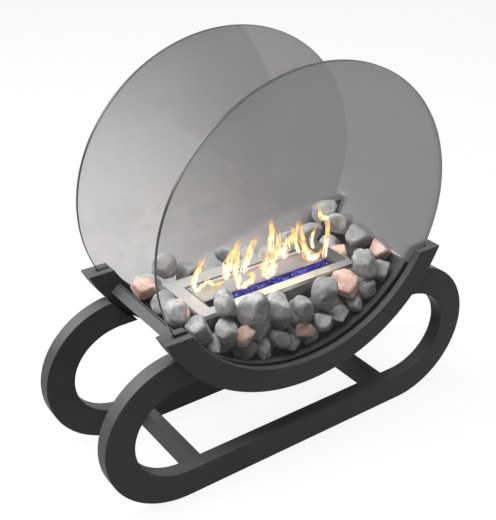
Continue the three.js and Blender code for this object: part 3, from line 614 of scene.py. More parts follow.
# ---------------------------------------------------------------- meshes

def added(name, data):
    item = bpy.data.objects.new(name, data)
    bpy.context.scene.collection.objects.link(item)
    return item


def mesh_of(name, points, faces):
    mesh = bpy.data.meshes.new(name)
    mesh.from_pydata([tuple(point) for point in points], [], faces)
    mesh.update()
    return mesh


def mark(mesh, **values):
    """Gives each point of a mesh the named numbers, for its finish to read."""
    for name, numbers in values.items():
        mesh.attributes.new(name, "FLOAT", "POINT").data.foreach_set("value", numbers)


def grid_faces(grid, closed=False):
    """Quads between the rows of a grid of point numbers, where each row may close on itself."""
    now = grid if closed else grid[:, :-1]
    after = np.roll(grid, -1, axis=1) if closed else grid[:, 1:]
    quads = np.stack([now[:-1], after[:-1], after[1:], now[1:]], axis=-1)
    return [tuple(quad) for quad in quads.reshape(-1, 4).tolist()]


def tube_faces(start, rings, sides):
    """The closed rings of a tube and its two ends."""
    grid = start + np.arange(rings * sides).reshape(rings, sides)
    return [*grid_faces(grid, closed=True), tuple(grid[0].tolist()), tuple(grid[-1].tolist())]


def turned_out(mesh):
    """Makes all faces of a closed mesh point outwards."""
    work = bmesh.new()
    work.from_mesh(mesh)
    bmesh.ops.recalc_face_normals(work, faces=work.faces)
    work.to_mesh(mesh)
    work.free()
    return mesh


def smooth(mesh, degrees=32):
    mesh.shade_smooth()
    mesh.set_sharp_from_angle(angle=math.radians(degrees))


def applied(piece):
    """Replaces a piece's mesh with what its modifiers make of it, and removes them."""
    graph = bpy.context.evaluated_depsgraph_get()
    made = bpy.data.meshes.new_from_object(piece.evaluated_get(graph), depsgraph=graph)
    piece.modifiers.clear()
    piece.data = made
    return piece


def rounded(piece, width, segments=3, degrees=40):
    """Rounds the edges of a piece that are sharper than the given angle."""
    bevel = piece.modifiers.new("Rounded edges", "BEVEL")
    bevel.width = width
    bevel.segments = segments
    bevel.limit_method = "ANGLE"
    bevel.angle_limit = math.radians(degrees)
    bevel.use_clamp_overlap = True
    bevel.miter_outer = "MITER_ARC"
    applied(piece)
    smooth(piece.data)
    flat = piece.modifiers.new("Flat faces", "WEIGHTED_NORMAL")
    flat.mode = "FACE_AREA"
    flat.keep_sharp = True
    applied(piece)
    return piece


def cad_copy(node, name):
    """A merged copy of a CAD node's mesh, without the edges that cross its flat faces."""
    mesh = frame["nodes"][node].data.copy()
    work = bmesh.new()
    work.from_mesh(mesh)
    bmesh.ops.remove_doubles(work, verts=work.verts, dist=0.01 * MM)
    bmesh.ops.dissolve_limit(work, angle_limit=math.radians(0.5), verts=work.verts, edges=work.edges)
    work.to_mesh(mesh)
    work.free()
    mesh.materials.clear()
    return added(name, mesh)


def rides_with(piece, node, *materials):
    """Paints a piece and makes it ride on a CAD node's body."""
    for material in materials:
        if material.name not in piece.data.materials:
            piece.data.materials.append(material)
    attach(piece, frame["nodes"][node]["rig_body"])


def stands_for(piece, node, slot, *materials):
    """Paints a piece, makes it ride on a CAD node's body and lets it stand for that node."""
    rides_with(piece, node, *materials)
    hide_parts(node)


# ---------------------------------------------------------------- swept round the bowl

def sweep_tree():
    """Sweeps a section, drawn as offset and Y, round the bowl's ellipse, cut level at both tips."""
    tree = Maker(
        "Sweep round the bowl",
        Section="Geometry",
        Half_width="Float",
        Half_height="Float",
        Centre_height="Float",
        Tip_height="Float",
        Across="Float",
        Steps="Int",
    )
    given = tree.given
    section = tree.add("GeometryNodeMeshToCurve", {"Mesh": given["Section"]})
    line = tree.add("GeometryNodeCurvePrimitiveLine", {"Start": (0, 0, 0), "End": (0, 0, 1)})
    steps = tree.add("GeometryNodeResampleCurve", {"Curve": line, "Count": given["Steps"] + 1})
    tube = tree.add("GeometryNodeCurveToMesh", {"Curve": steps, "Profile Curve": section, "Fill Caps": True})
    offset, across, share = tree.parts(tree.add("GeometryNodeInputPosition"))
    rise = given["Half height"] + offset
    reach = (given["Centre height"] - given["Tip height"]) / rise
    angle = (share * 2 - 1) * tree.maths("ARCCOSINE", reach)
    x = (given["Half width"] + offset) * tree.maths("SINE", angle)
    z = given["Centre height"] - rise * tree.maths("COSINE", angle)
    place = tree.add("ShaderNodeCombineXYZ", {"X": x, "Y": across + given["Across"], "Z": z})
    return tree.ends_in(tree.add("GeometryNodeSetPosition", {"Geometry": tube, "Position": place}))


def run_tree(piece, group, **inputs):
    """Runs a geometry tree on a piece, with its inputs given by name, and keeps the plain mesh."""
    modifier = piece.modifiers.new(group.name, "NODES")
    modifier.node_group = group
    for item in group.interface.items_tree:
        key = item.name.replace(" ", "_")
        if item.in_out == "INPUT" and key in inputs:
            modifier[item.identifier] = inputs[key]
    return applied(piece)


def band(name, group, section, tip, across, steps, material):
    """A closed band of the given section round the bowl."""
    mesh = bpy.data.meshes.new(name)
    corners = len(section)
    edges = [(i, (i + 1) % corners) for i in range(corners)]
    mesh.from_pydata([(offset, y, 0) for offset, y in section], edges, [])
    piece = run_tree(
        added(name, mesh),
        group,
        Half_width=PANE_HALF_WIDTH,
        Half_height=PANE_HALF_HEIGHT,
        Centre_height=PANE_CENTRE,
        Tip_height=tip,
        Across=across,
        Steps=steps,
        Finish=material,
    )
    turned_out(piece.data)
    return piece


def channel(lips, outside, half_width, floor, half_groove):
    """A section whose groove opens towards the bowl's middle."""
    return [
        (lips, -half_width),
        (outside, -half_width),
        (outside, half_width),
        (lips, half_width),
        (lips, half_groove),
        (floor, half_groove),
        (floor, -half_groove),
        (lips, -half_groove),
    ]


def arc_section(steel):
    """A bar with a groove for the pane and its seal along its hollow face."""
    concave = ARC_CONVEX - steel.arc_depth
    return channel(concave, ARC_CONVEX, ARC_WIDTH / 2, steel.groove_depth, SEAL_HALF + GAP)


def seal_section(steel):
    """A U-shaped lining whose lips grip the pane."""
    lips = ARC_CONVEX - steel.arc_depth + GAP
    return channel(lips, SEAL_OUTSIDE, SEAL_HALF, GAP, PANE_THICKNESS / 2 + GAP)


def tray_section():
    return [
        (TRAY_OUTSIDE - TRAY_SHEET, TRAY_LOW.y),
        (TRAY_OUTSIDE, TRAY_LOW.y),
        (TRAY_OUTSIDE, TRAY_HIGH.y),
        (TRAY_OUTSIDE - TRAY_SHEET, TRAY_HIGH.y),
    ]


class HEARTH_OT_cradle(bpy.types.Operator):
    """Makes the grooved cradle arcs, the seals in them and the tray between them"""
    bl_idname = "hearth.make_cradle"
    bl_label = "Cradle arcs, seals and tray"

    def execute(self, context):
        steel = context.scene.hearth_steel
        group = sweep_tree()
        paint = charcoal_paint(steel)
        rubber = black_silicone()
        steps = steel.steps
        for end, side in ENDS.items():
            across = side * PANE_PLACE
            arc = band(f"cradle_arc_{end}", group, arc_section(steel), ARC_HIGH.z, across, steps, paint)
            rounded(arc, steel.edge)
            stands_for(arc, f"{end}_arc", "black_steel", paint)
            tip = ARC_HIGH.z - GAP
            seal = band(f"glass_seal_{end}", group, seal_section(steel), tip, across, steps, rubber)
            rounded(seal, steel.seal_edge, segments=2)
            stands_for(seal, f"{end}_seal", "silicone", rubber)
        tray = band("bowl_tray", group, tray_section(), TRAY_HIGH.z, 0.0, steps, paint)
        rounded(tray, steel.sheet_edge, segments=2)
        stands_for(tray, "tray", "black_steel", paint)
        return {"FINISHED"}


# ---------------------------------------------------------------- runners and crossbars

ARC_ROUND = 64  # points on each half-round end, before they are spaced evenly
BAR_POINTS = 168  # along a runner's bar
BAR_ROWS = 5  # across it


def runner_outline(inset, height, straight):
    """The closed line of a runner, inset from its outer edge, from the top middle clockwise."""
    reach = RUNNER_HIGH.x - straight / 2 - inset
    rise = height / 2 - inset
    middle = height / 2
    turned = np.linspace(math.pi / 2, -math.pi / 2, ARC_ROUND)
    right_x = straight / 2 + reach * np.cos(turned)
    right_z = middle + rise * np.sin(turned)
    x = np.concatenate([[0.0], right_x, [0.0], -right_x[::-1], [0.0]])
    z = np.concatenate([[middle + rise], right_z, [middle - rise], right_z[::-1], [middle + rise]])
    return np.column_stack([x, z])


def below_arc(points):
    """How far points lie outside the ellipse of the arc's underside; 0 is on it."""
    reach = ARC_CONVEX + GAP
    x = points[:, 0] / (PANE_HALF_WIDTH + reach)
    z = (points[:, 1] - PANE_CENTRE) / (PANE_HALF_HEIGHT + reach)
    return x * x + z * z - 1


def spaced(points, count):
    """The same line with its points spaced evenly."""
    steps = np.hypot(*np.diff(points, axis=0).T)
    along = np.concatenate([[0.0], np.cumsum(steps)])
    wanted = np.linspace(0, along[-1], count)
    return np.column_stack([np.interp(wanted, along, column) for column in points.T])


def cut_outline(inset, height, straight):
    """A runner's line, cut at both ends where it meets the arc."""
    line = spaced(runner_outline(inset, height, straight), 4 * BAR_POINTS)
    outside = below_arc(line)
    first = int(np.argmax(outside > 0))
    last = len(line) - 1 - int(np.argmax(outside[::-1] > 0))

    def crossing(a, b):
        share = outside[a] / (outside[a] - outside[b])
        return line[a] + (line[b] - line[a]) * share

    ends = [crossing(first - 1, first)], [crossing(last, last + 1)]
    return spaced(np.concatenate([ends[0], line[first:last + 1], ends[1]]), BAR_POINTS)


def runner_mesh(name, steel, low_y, high_y):
    """A bent bar: rows of quads across its depth, closed at both faces, sides and cut ends."""
    insets = np.linspace(0, steel.bar_depth, BAR_ROWS)
    rows = [cut_outline(inset, steel.runner_height, steel.straight) for inset in insets]
    points = [(x, y, z) for y in (low_y, high_y) for row in rows for x, z in row]
    block = np.arange(len(points)).reshape(2, BAR_ROWS, BAR_POINTS)
    walls = [block[0], block[1], block[:, 0], block[:, -1], block[:, :, 0], block[:, :, -1]]
    faces = [face for wall in walls for face in grid_faces(wall)]
    return turned_out(mesh_of(name, points, faces))


class HEARTH_OT_sleds(bpy.types.Operator):
    """Makes the two sled runners and the crossbars that join them and the arcs"""
    bl_idname = "hearth.make_sleds"
    bl_label = "Runners and crossbars"

    def execute(self, context):
        steel = context.scene.hearth_steel
        paint = bpy.data.materials[PAINT]
        for end, side in ENDS.items():
            across = sorted([side * abs(RUNNER_HIGH.y), side * abs(RUNNER_LOW.y)])
            piece = added(f"sled_{end}", runner_mesh(f"sled_{end}", steel, *across))
            rounded(piece, steel.edge)
            stands_for(piece, f"{end}_runner", "black_steel", paint)
        for level in ("lower", "upper"):
            for hand in HANDS:
                node = f"{level}_crossbar_{hand}"
                piece = rounded(cad_copy(node, f"{level}_bar_{hand}"), steel.sheet_edge, segments=2)
                stands_for(piece, node, "black_steel", paint)
        return {"FINISHED"}


# ---------------------------------------------------------------- panes

def pane_mesh(name, glass, place):
    """A round pane: two polished faces, and a ground edge with a small chamfer on each side."""
    half = PANE_THICKNESS / 2
    rings = [(glass.arris, -half), (0, glass.arris - half), (0, half - glass.arris), (glass.arris, half)]
    angles = [2 * math.pi * i / glass.sides for i in range(glass.sides)]
    points = [
        (
            (PANE_HALF_WIDTH - inset) * math.cos(angle),
            place + y,
            PANE_CENTRE + (PANE_HALF_HEIGHT - inset) * math.sin(angle),
        )
        for inset, y in rings
        for angle in angles
    ]
    mesh = turned_out(mesh_of(name, points, tube_faces(0, len(rings), glass.sides)))
    for polygon in mesh.polygons:
        polygon.material_index = 0 if len(polygon.vertices) > 4 else 1
    smooth(mesh, degrees=20)
    return mesh


class HEARTH_OT_panes(bpy.types.Operator):
    """Makes the two round panes of smoked glass"""
    bl_idname = "hearth.make_panes"
    bl_label = "Smoked panes"

    def execute(self, context):
        glass = context.scene.hearth_glass
        edge = ground_edge(glass)
        for end, side in ENDS.items():
            name = f"smoked_glass_{end}"
            piece = added(name, pane_mesh(name, glass, side * PANE_PLACE))
            stands_for(piece, f"{end}_pane", "smoked_glass", smoked_glass(glass, end), edge)
        return {"FINISHED"}


# ---------------------------------------------------------------- burner

def fibre_tree():
    """Scatters short loose fibres over the top of the wool."""
    tree = Maker(
        "Loose fibres", Wool="Geometry", Density="Float", Length="Float", Thickness="Float", Seed="Int"
    )
    given = tree.given
    _, _, upwards = tree.parts(tree.add("GeometryNodeInputNormal"))
    top = tree.add("FunctionNodeCompare", {0: upwards, 1: 0.5}, operation="GREATER_THAN")
    points = tree.add(
        "GeometryNodeDistributePointsOnFaces",
        {"Mesh": given["Wool"], "Selection": top, "Density": given["Density"], "Seed": given["Seed"]},
    )
    bend = {
        "Start": (-0.5, 0, 0),
        "Start Handle": (-0.2, 0.3, 0.2),
        "End Handle": (0.2, -0.3, 0.25),
        "End": (0.5, 0, 0.08),
    }
    strand = tree.add("GeometryNodeCurvePrimitiveBezierSegment", {"Resolution": 5, **bend})
    ring = tree.add("GeometryNodeCurvePrimitiveCircle", {"Resolution": 3, "Radius": given["Thickness"]})
    tube = tree.add("GeometryNodeCurveToMesh", {"Curve": strand, "Profile Curve": ring, "Fill Caps": True})
    spin = tree.vary((-0.5, -0.4, -3.14), (0.5, 0.4, 3.14), given["Seed"])
    sockets = {"Points": points, "Instance": tube, "Rotation": spin, "Scale": given["Length"]}
    return tree.ends_in(tree.add("GeometryNodeInstanceOnPoints", sockets))


TUFT_DEPTH = 0.9 * MM
TUFTS_PER_METRE = 90
WOOL_MESH = 6 * MM  # longest edge of the wool's surface
FIBRE_LENGTH = 9 * MM
FIBRE_THICKNESS = 0.012  # as a share of its length


def wool_block(burner, material):
    """The block of wool, its top pulled into tufts, with loose fibres on it."""
    block = cad_copy("ceramic_wool", "wool_block")
    work = bmesh.new()
    work.from_mesh(block.data)
    bmesh.ops.triangulate(work, faces=work.faces)
    for _ in range(5):
        long_edges = [edge for edge in work.edges if edge.calc_length() > WOOL_MESH]
        bmesh.ops.subdivide_edges(work, edges=long_edges, cuts=1, use_grid_fill=False)
        bmesh.ops.triangulate(work, faces=work.faces)
    for vertex in work.verts:
        tuft = noise.fractal(vertex.co * TUFTS_PER_METRE, 0.8, 2.0, 4)
        vertex.co -= vertex.normal * (0.9 + tuft) * TUFT_DEPTH
    work.to_mesh(block.data)
    work.free()
    block.data.shade_smooth()
    area = (WOOL_HIGH.x - WOOL_LOW.x) * (WOOL_HIGH.y - WOOL_LOW.y)
    fibres = run_tree(
        added("wool_fibres", block.data.copy()),
        fibre_tree(),
        Density=burner.fibres / area,
        Length=FIBRE_LENGTH,
        Thickness=FIBRE_THICKNESS,
        Seed=4,
        Finish=material,
    )
    return block, fibres


class HEARTH_OT_burner(bpy.types.Operator):
    """Makes the stainless burner with its damper, rails, supports and ceramic wool"""
    bl_idname = "hearth.make_burner"
    bl_label = "Burner"

    def execute(self, context):
        burner = context.scene.hearth_burner
        paint = bpy.data.materials[PAINT]
        brushed = brushed_steel(burner)
        mill = tank_steel(burner)
        tinted = damper_steel(burner)
        sheets = [
            ("burner_plate", "burner_top_plate", brushed, "stainless"),
            ("burner_tank", "fuel_tank", mill, "stainless"),
            ("damper", "sliding_damper", tinted, "stainless"),
            ("damper_rail_left", "slide_rail_left", mill, "stainless"),
            ("damper_rail_right", "slide_rail_right", mill, "stainless"),
            ("burner_support_front", "tank_support_front", paint, "black_steel"),
            ("burner_support_rear", "tank_support_rear", paint, "black_steel"),
        ]
        for node, name, material, slot in sheets:
            piece = rounded(cad_copy(node, name), burner.edge, segments=2)
            stands_for(piece, node, slot, material)
        fibre = wool_fibre(burner)
        for piece in wool_block(burner, fibre):
            stands_for(piece, "ceramic_wool", "ceramic_wool", fibre)
        return {"FINISHED"}


# ---------------------------------------------------------------- stones

LEAST_REACH = 0.01 * MM  # of a stone's face from its middle
SLIVER = 0.001 * MM * MM  # area of a face that doesn't count
STONE_AREA = 200 * MM * MM  # least area of a whole stone
HOLLOW_EDGE = math.radians(-4)  # faces that meet at a sharper hollow angle are of two stones
CHIP_DEPTHS = (0.64, 0.9)  # how near the middle a chip reaches, as a share
CREASE = 0.16  # width of the creases, in steps of their noise
HOLLOW = 0.10  # width of the painted shade along them


def ball(detail):
    """Directions and faces of a subdivided icosahedron."""
    work = bmesh.new()
    bmesh.ops.create_icosphere(work, subdivisions=detail, radius=1.0)
    directions = np.array([vertex.co.normalized() for vertex in work.verts])
    faces = [tuple(vertex.index for vertex in face.verts) for face in work.faces]
    work.free()
    return directions, faces


def hull_faces(points):
    """The middle of a cloud of points, and the flat faces round it as normals and distances."""
    work = bmesh.new()
    for point in points:
        work.verts.new(point)
    bmesh.ops.convex_hull(work, input=work.verts)
    outer = {vertex for face in work.faces for vertex in face.verts}
    middle = sum((vertex.co for vertex in outer), Vector()) / len(outer)
    planes = {}
    for face in work.faces:
        face.normal_update()
        reach = face.normal.dot(face.verts[0].co - middle)
        if reach > LEAST_REACH and face.calc_area() > SLIVER:
            planes[tuple(round(part, 2) for part in face.normal)] = (face.normal.copy(), reach)
    work.free()
    normals = np.array([normal for normal, _ in planes.values()])
    reaches = np.array([reach for _, reach in planes.values()])
    return np.array(middle), normals, reaches


def worn(directions, normals, reaches, crispness):
    """How far a stone bounded by the given planes reaches each way, with its edges worn round."""
    facing = np.maximum(directions @ normals.T, 0) / reaches
    return (facing ** crispness).sum(axis=1) ** (-1 / crispness)


def random_ways(count, chance):
    """Unit vectors spread at random."""
    ways = np.array([[chance.gauss(0, 1) for _ in range(3)] for _ in range(count)])
    return ways / np.linalg.norm(ways, axis=1)[:, None]


def tumbled(points, directions, stones, chance):
    """The points of a stone in the given hull, chipped, worn and uneven, and how deep in a crease each lies,
    for the painted shade there.
    """
    middle, normals, reaches = hull_faces(points)
    chips = random_ways(stones.chips, chance)
    depths = np.array([chance.uniform(*CHIP_DEPTHS) for _ in chips])
    chip_reaches = worn(chips, normals, reaches, 12.0) * depths
    planes = np.vstack([normals, chips])
    reach = worn(directions, planes, np.concatenate([reaches, chip_reaches]), stones.crispness)
    shift = Vector(chance.uniform(-9, 9) for _ in range(3))
    broad = np.array([noise.noise(Vector(way) * 1.9 + shift) for way in directions])
    crease = np.array([abs(noise.noise(Vector(way) * 2.6 - shift)) for way in directions])
    fine = np.array([noise.fractal(Vector(way) * 5.0 + shift, 0.9, 2.1, 3) for way in directions])
    sink = 0.5 + 0.5 * broad + 0.45 * np.clip(1 - crease / CREASE, 0, 1) + 0.16 * fine
    reach *= stones.swell * (1 - stones.lump * np.clip(sink, 0, 2))
    # how deep in a crease each point lies, which its finish paints as shade
    hollow = np.clip(1 - crease / HOLLOW, 0, 1)
    return kept_clear(middle + directions * reach[:, None]), hollow


def kept_clear(points):
    """The same points, with those in the bowl's sheet, a pane or the burner moved out of it."""
    outwards = TRAY_OUTSIDE - TRAY_SHEET - GAP
    x = points[:, 0] / (PANE_HALF_WIDTH + outwards)
    z = (points[:, 2] - PANE_CENTRE) / (PANE_HALF_HEIGHT + outwards)
    within = 1 / np.maximum(1, np.hypot(x, z))
    points[:, 0] *= within
    points[:, 2] = PANE_CENTRE + (points[:, 2] - PANE_CENTRE) * within
    room = PANE_PLACE - PANE_THICKNESS / 2 - CLEARANCE
    points[:, 1] = np.clip(points[:, 1], -room, room)
    for low, high in ((TANK_LOW, TANK_HIGH), (PLATE_LOW, PLATE_HIGH)):
        walls = [(axis, low[axis] - CLEARANCE, 1) for axis in (0, 1)]
        walls += [(axis, high[axis] + CLEARANCE, -1) for axis in (0, 1)]
        ways_out = np.column_stack([way * (points[:, axis] - wall) for axis, wall, way in walls])
        inside = (ways_out > 0).all(axis=1) & (points[:, 2] > low.z - CLEARANCE)
        nearest = ways_out.argmin(axis=1)
        for side, (axis, wall, _) in enumerate(walls):
            points[inside & (nearest == side), axis] = wall
    return points


def single_stones(node):
    """The corners of each stone in a node; a stone's faces are those that no hollow edge parts."""
    work = bmesh.new()
    work.from_mesh(frame["nodes"][node].data)
    bmesh.ops.remove_doubles(work, verts=work.verts, dist=0.01 * MM)
    waiting = set(work.faces)
    groups = []
    while waiting:
        start = min(waiting, key=lambda face: face.index)
        waiting.discard(start)
        group, front = {start}, [start]
        while front:
            face = front.pop()
            for edge in face.edges:
                if len(edge.link_faces) != 2 or edge.calc_face_angle_signed() < HOLLOW_EDGE:
                    continue
                for other in edge.link_faces:
                    if other in waiting:
                        waiting.discard(other)
                        group.add(other)
                        front.append(other)
        corners = {vertex for face in group for vertex in face.verts}
        area = sum(face.calc_area() for face in group)
        if len(corners) > 5 and area > STONE_AREA:
            groups.append([vertex.co.copy() for vertex in sorted(corners, key=lambda v: v.index)])
    work.free()
    return groups


def stone_piece(name, hulls, shape, stones, chance):
    """One piece of one or more separate stones, each with its own shade."""
    directions, faces = shape
    points, all_faces, shades, hollows = [], [], [], []
    for hull in hulls:
        start = len(points)
        places, hollow = tumbled(hull, directions, stones, chance)
        points.extend(places)
        hollows.extend(hollow)
        all_faces.extend(tuple(start + i for i in face) for face in faces)
        shades.extend([chance.random()] * len(directions))
    mesh = mesh_of(name, points, all_faces)
    mark(mesh, shade=shades, hollow=hollows)
    mesh.shade_smooth()
    return added(name, mesh)


class HEARTH_OT_stones(bpy.types.Operator):
    """Makes the tumbled grey and pink stones"""
    bl_idname = "hearth.make_stones"
    bl_label = "Stones"

    def execute(self, context):
        stones = context.scene.hearth_stones
        finishes = {"grey": grey_stone(stones), "pink": pink_stone(stones)}
        shape = ball(stones.detail)
        nodes = sorted(node for node in frame["nodes"] if "stone" in node)
        for count, node in enumerate(nodes):
            chance = random.Random(100 + count)
            tone = "pink" if node.startswith("pink") else "grey"
            name = node.replace("_stone", "_pebble").replace("stone_bed", "pebble_bed")
            hulls = single_stones(node)
            if not hulls:
                raise RuntimeError(f"{node} holds no stone")
            piece = stone_piece(name, hulls, shape, stones, chance)
            stands_for(piece, node, f"{tone}_stone", finishes[tone])
        return {"FINISHED"}


# ---------------------------------------------------------------- flames

# Each tongue of flame: its heat, its widest half-width and the points that its middle rises
# through, as X, Y and Z in millimetres.
TONGUES = [
    (0.15, 6.5, [(-126, 16, 281), (-127, 16, 300), (-118, 16, 314), (-110, 17, 326), (-98, 18, 348)]),
    (0.45, 4.5, [(-129, 15, 281), (-112, 14, 284), (-103, 14, 297), (-97, 14, 302)]),
    (0.55, 4.0, [(-118, 12, 281), (-104, 12, 292), (-92, 12, 283), (-78, 11, 284), (-68, 10, 281)]),
    (0.35, 11.0, [(-84, -8, 296), (-79, -9, 320), (-74, -10, 338), (-64, -12, 356), (-53, -14, 368)]),
    (0.85, 7.5, [(-65, -24, 280), (-69, -22, 306), (-70, -20, 328), (-66, -20, 350), (-61, -20, 374)]),
    (0.95, 7.0, [(-64, -24, 283), (-50, -23, 287), (-39, -22, 294), (-42, -22, 303), (-54, -21, 305)]),
    (0.12, 8.5, [(-53, -14, 300), (-46, -13, 322), (-38, -12, 342), (-30, -12, 355), (-21, -12, 370)]),
    (1.00, 16.0, [(-6, -18, 278), (-3, -17, 296), (-2, -15, 312), (4, -14, 326), (8, -14, 344)]),
    (0.25, 8.0, [(2, -14, 322), (3, -13, 344), (6, -12, 366), (2, -11, 392)]),
    (0.80, 6.0, [(7, -16, 279), (5, -15, 296), (12, -14, 314), (17, -13, 334), (15, -12, 352),
                 (9, -12, 368)]),
    (0.10, 13.0, [(30, -10, 300), (34, -9, 318), (44, -8, 328), (55, -7, 342), (45, -6, 362)]),
    (0.20, 11.0, [(112, -6, 285), (96, -6, 284), (83, -5, 297), (76, -4, 316), (72, -3, 341),
                  (68, -2, 368)]),
    (0.80, 4.5, [(69, -6, 298), (60, -6, 320), (62, -5, 344), (66, -4, 366)]),
    (0.60, 5.0, [(88, -6, 290), (100, -8, 281), (111, -8, 286), (117, -8, 298)]),
    (0.60, 5.0, [(97, -8, 298), (92, -8, 320), (97, -8, 334), (102, -8, 348)]),
    (0.85, 6.0, [(112, -18, 280), (116, -17, 298), (120, -16, 324), (122, -16, 345), (117, -16, 364)]),
    (0.10, 5.5, [(121, -16, 355), (107, -16, 359), (98, -16, 374), (95, -16, 395)]),
]
TONGUE_STEPS = 40
TONGUE_SIDES = 16
TONGUE_DEPTH = 0.55  # thickness of a tongue, as a share of its width
STRANDS = 2  # thin strands that stray from each tongue
STRAND_WIDTH = 1.7  # half-width of a strand, in millimetres
ROOTS_HEIGHT = 280 * MM  # of the blue flames in the slot
ROOTS_ENDS = (-104 * MM, 110 * MM)  # along X


def through(points, count):
    """A smooth line through the given points, as a Catmull-Rom spline."""
    rows = np.array([2 * points[0] - points[1], *points, 2 * points[-1] - points[-2]])
    line = []
    for place in np.linspace(0, len(points) - 1, count):
        start = min(int(place), len(points) - 2)
        t = place - start
        before, here, after, beyond = rows[start:start + 4]
        square = 2 * before - 5 * here + 4 * after - beyond
        cube = 3 * here - before - 3 * after + beyond
        line.append(0.5 * (2 * here + (after - before) * t + square * t ** 2 + cube * t ** 3))
    return np.array(line)


def tongue(points, half_width, seed):
    """A tongue of flame as rings of points, with how far up and how far in from its edges each is."""
    line = through(np.array(points) * MM, TONGUE_STEPS)
    shares = np.linspace(0, 1, TONGUE_STEPS)
    along = np.gradient(line, axis=0)
    along /= np.linalg.norm(along, axis=1)[:, None]
    sideways = np.cross(along, (0.0, 1.0, 0.0))
    sideways /= np.linalg.norm(sideways, axis=1)[:, None]
    deep = np.cross(sideways, along)
    swell = np.maximum(np.sin(math.pi * shares ** 0.62), 0) ** 0.75 * (1 - 0.35 * shares)
    rings = []
    around = 2 * math.pi * np.arange(TONGUE_SIDES) / TONGUE_SIDES
    for i, share in enumerate(shares):
        flutter = noise.noise(Vector((seed * 3.1, share * 4.2, 0.5)))
        width = half_width * MM * (swell[i] + 0.04) * (1 + 0.55 * flutter * share)
        sway = sideways[i] * flutter * share * half_width * MM * 0.5
        for angle in around:
            lick = noise.noise(Vector((seed + math.cos(angle) * 1.2, share * 7, math.sin(angle) * 1.2)))
            radius = width * (1 + 0.35 * lick)
            across = sideways[i] * math.cos(angle) * radius
            rings.append(line[i] + sway + across + deep[i] * math.sin(angle) * radius * TONGUE_DEPTH)
    return rings, np.repeat(shares, TONGUE_SIDES), np.tile(abs(np.sin(around)), TONGUE_STEPS)


def all_tongues():
    """The tongues of flame, and thin strands that stray from them."""
    chance = random.Random(12)
    tongues = []
    for heat, half_width, middle in TONGUES:
        tongues.append((heat, half_width, middle))
        for _ in range(STRANDS):
            lean = chance.uniform(-1.6, 1.6) * half_width
            strand = []
            for step, (x, y, z) in enumerate(middle):
                share = step / (len(middle) - 1)
                stray = lean * share + chance.uniform(-0.35, 0.35) * half_width
                deep = chance.uniform(-3, 3)
                up = chance.uniform(-4, 4) * share
                strand.append((x + stray, y + deep, z + up))
            strand_heat = min(1.0, heat + chance.uniform(-0.2, 0.5))
            tongues.append((strand_heat, STRAND_WIDTH * chance.uniform(0.7, 1.3), strand))
    return tongues


def flames_mesh(name):
    """All the tongues, each point marked with how far up, how far in and how hot it is."""
    points, faces, rises, cores, heats = [], [], [], [], []
    for seed, (heat, half_width, middle) in enumerate(all_tongues()):
        faces.extend(tube_faces(len(points), TONGUE_STEPS, TONGUE_SIDES))
        rings, rise, core = tongue(middle, half_width, seed)
        points.extend(rings)
        rises.extend(rise)
        cores.extend(core)
        heats.extend([heat] * len(rings))
    mesh = turned_out(mesh_of(name, points, faces))
    mark(mesh, rise=rises, core=cores, heat=heats)
    mesh.shade_smooth()
    return mesh


def blue_tree():
    """A row of low flames along the slot, each a little off the line and of its own size."""
    tree = Maker(
        "Blue flames along the slot",
        Flame="Geometry",
        Start="Vector",
        End="Vector",
        Count="Int",
        Seed="Int",
    )
    given = tree.given
    line = tree.add("GeometryNodeCurvePrimitiveLine", {"Start": given["Start"], "End": given["End"]})
    points = tree.add("GeometryNodeCurveToPoints", {"Curve": line, "Count": given["Count"]}, mode="COUNT")
    strays = tree.vary((-3 * MM, -4 * MM, -0.8 * MM), (3 * MM, 4 * MM, 0.4 * MM), given["Seed"])
    moved = tree.add("GeometryNodeSetPosition", {"Geometry": points, "Offset": strays})
    size = tree.vary((1.1, 0.8, 0.5), (1.9, 1.2, 0.9), given["Seed"] + 1)
    sockets = {"Points": moved, "Instance": given["Flame"], "Scale": size}
    return tree.ends_in(tree.add("GeometryNodeInstanceOnPoints", sockets))


def flamelet(name):
    """A small low flame: a drop with a pointed top."""
    rings, sides = 9, 10
    radius, foot, shoulder, top = 5 * MM, -2 * MM, 6 * MM, 6.5 * MM
    points = [(0, 0, foot)]
    for share in np.linspace(0, 1, rings + 2)[1:-1]:
        reach = radius * math.sin(math.pi * share ** 0.6)
        height = foot + (shoulder - foot) * share
        for angle in 2 * math.pi * np.arange(sides) / sides:
            points.append((reach * math.cos(angle), reach * math.sin(angle), height))
    points.append((0, 0, top))
    grid = 1 + np.arange(rings * sides).reshape(rings, sides)
    faces = grid_faces(grid, closed=True)
    for tip, ring in ((0, grid[0].tolist()), (len(points) - 1, grid[-1].tolist())):
        faces.extend((tip, here, after) for here, after in zip(ring, ring[1:] + ring[:1]))
    mesh = turned_out(mesh_of(name, points, faces))
    mesh.shade_smooth()
    return mesh


class HEARTH_OT_fire(bpy.types.Operator):
    """Makes the flames over the burner, and their blue roots in the slot"""
    bl_idname = "hearth.make_fire"
    bl_label = "Flames"

    def execute(self, context):
        fire = context.scene.hearth_fire
        flames = added("flames", flames_mesh("flames"))
        rides_with(flames, "burner_plate", flame_skin(fire))
        blue = blue_fire(fire)
        slot_y = (SLOT_FRONT + DAMPER_LOW.y) / 2
        roots = run_tree(
            added("blue_roots", flamelet("blue_roots")),
            blue_tree(),
            Start=(ROOTS_ENDS[0], slot_y, ROOTS_HEIGHT),
            End=(ROOTS_ENDS[1], slot_y, ROOTS_HEIGHT),
            Count=fire.roots,
            Seed=3,
            Finish=blue,
        )
        rides_with(roots, "burner_plate", blue)
        for piece in (flames, roots):
            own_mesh(piece)
        return {"FINISHED"}


# ---------------------------------------------------------------- studio

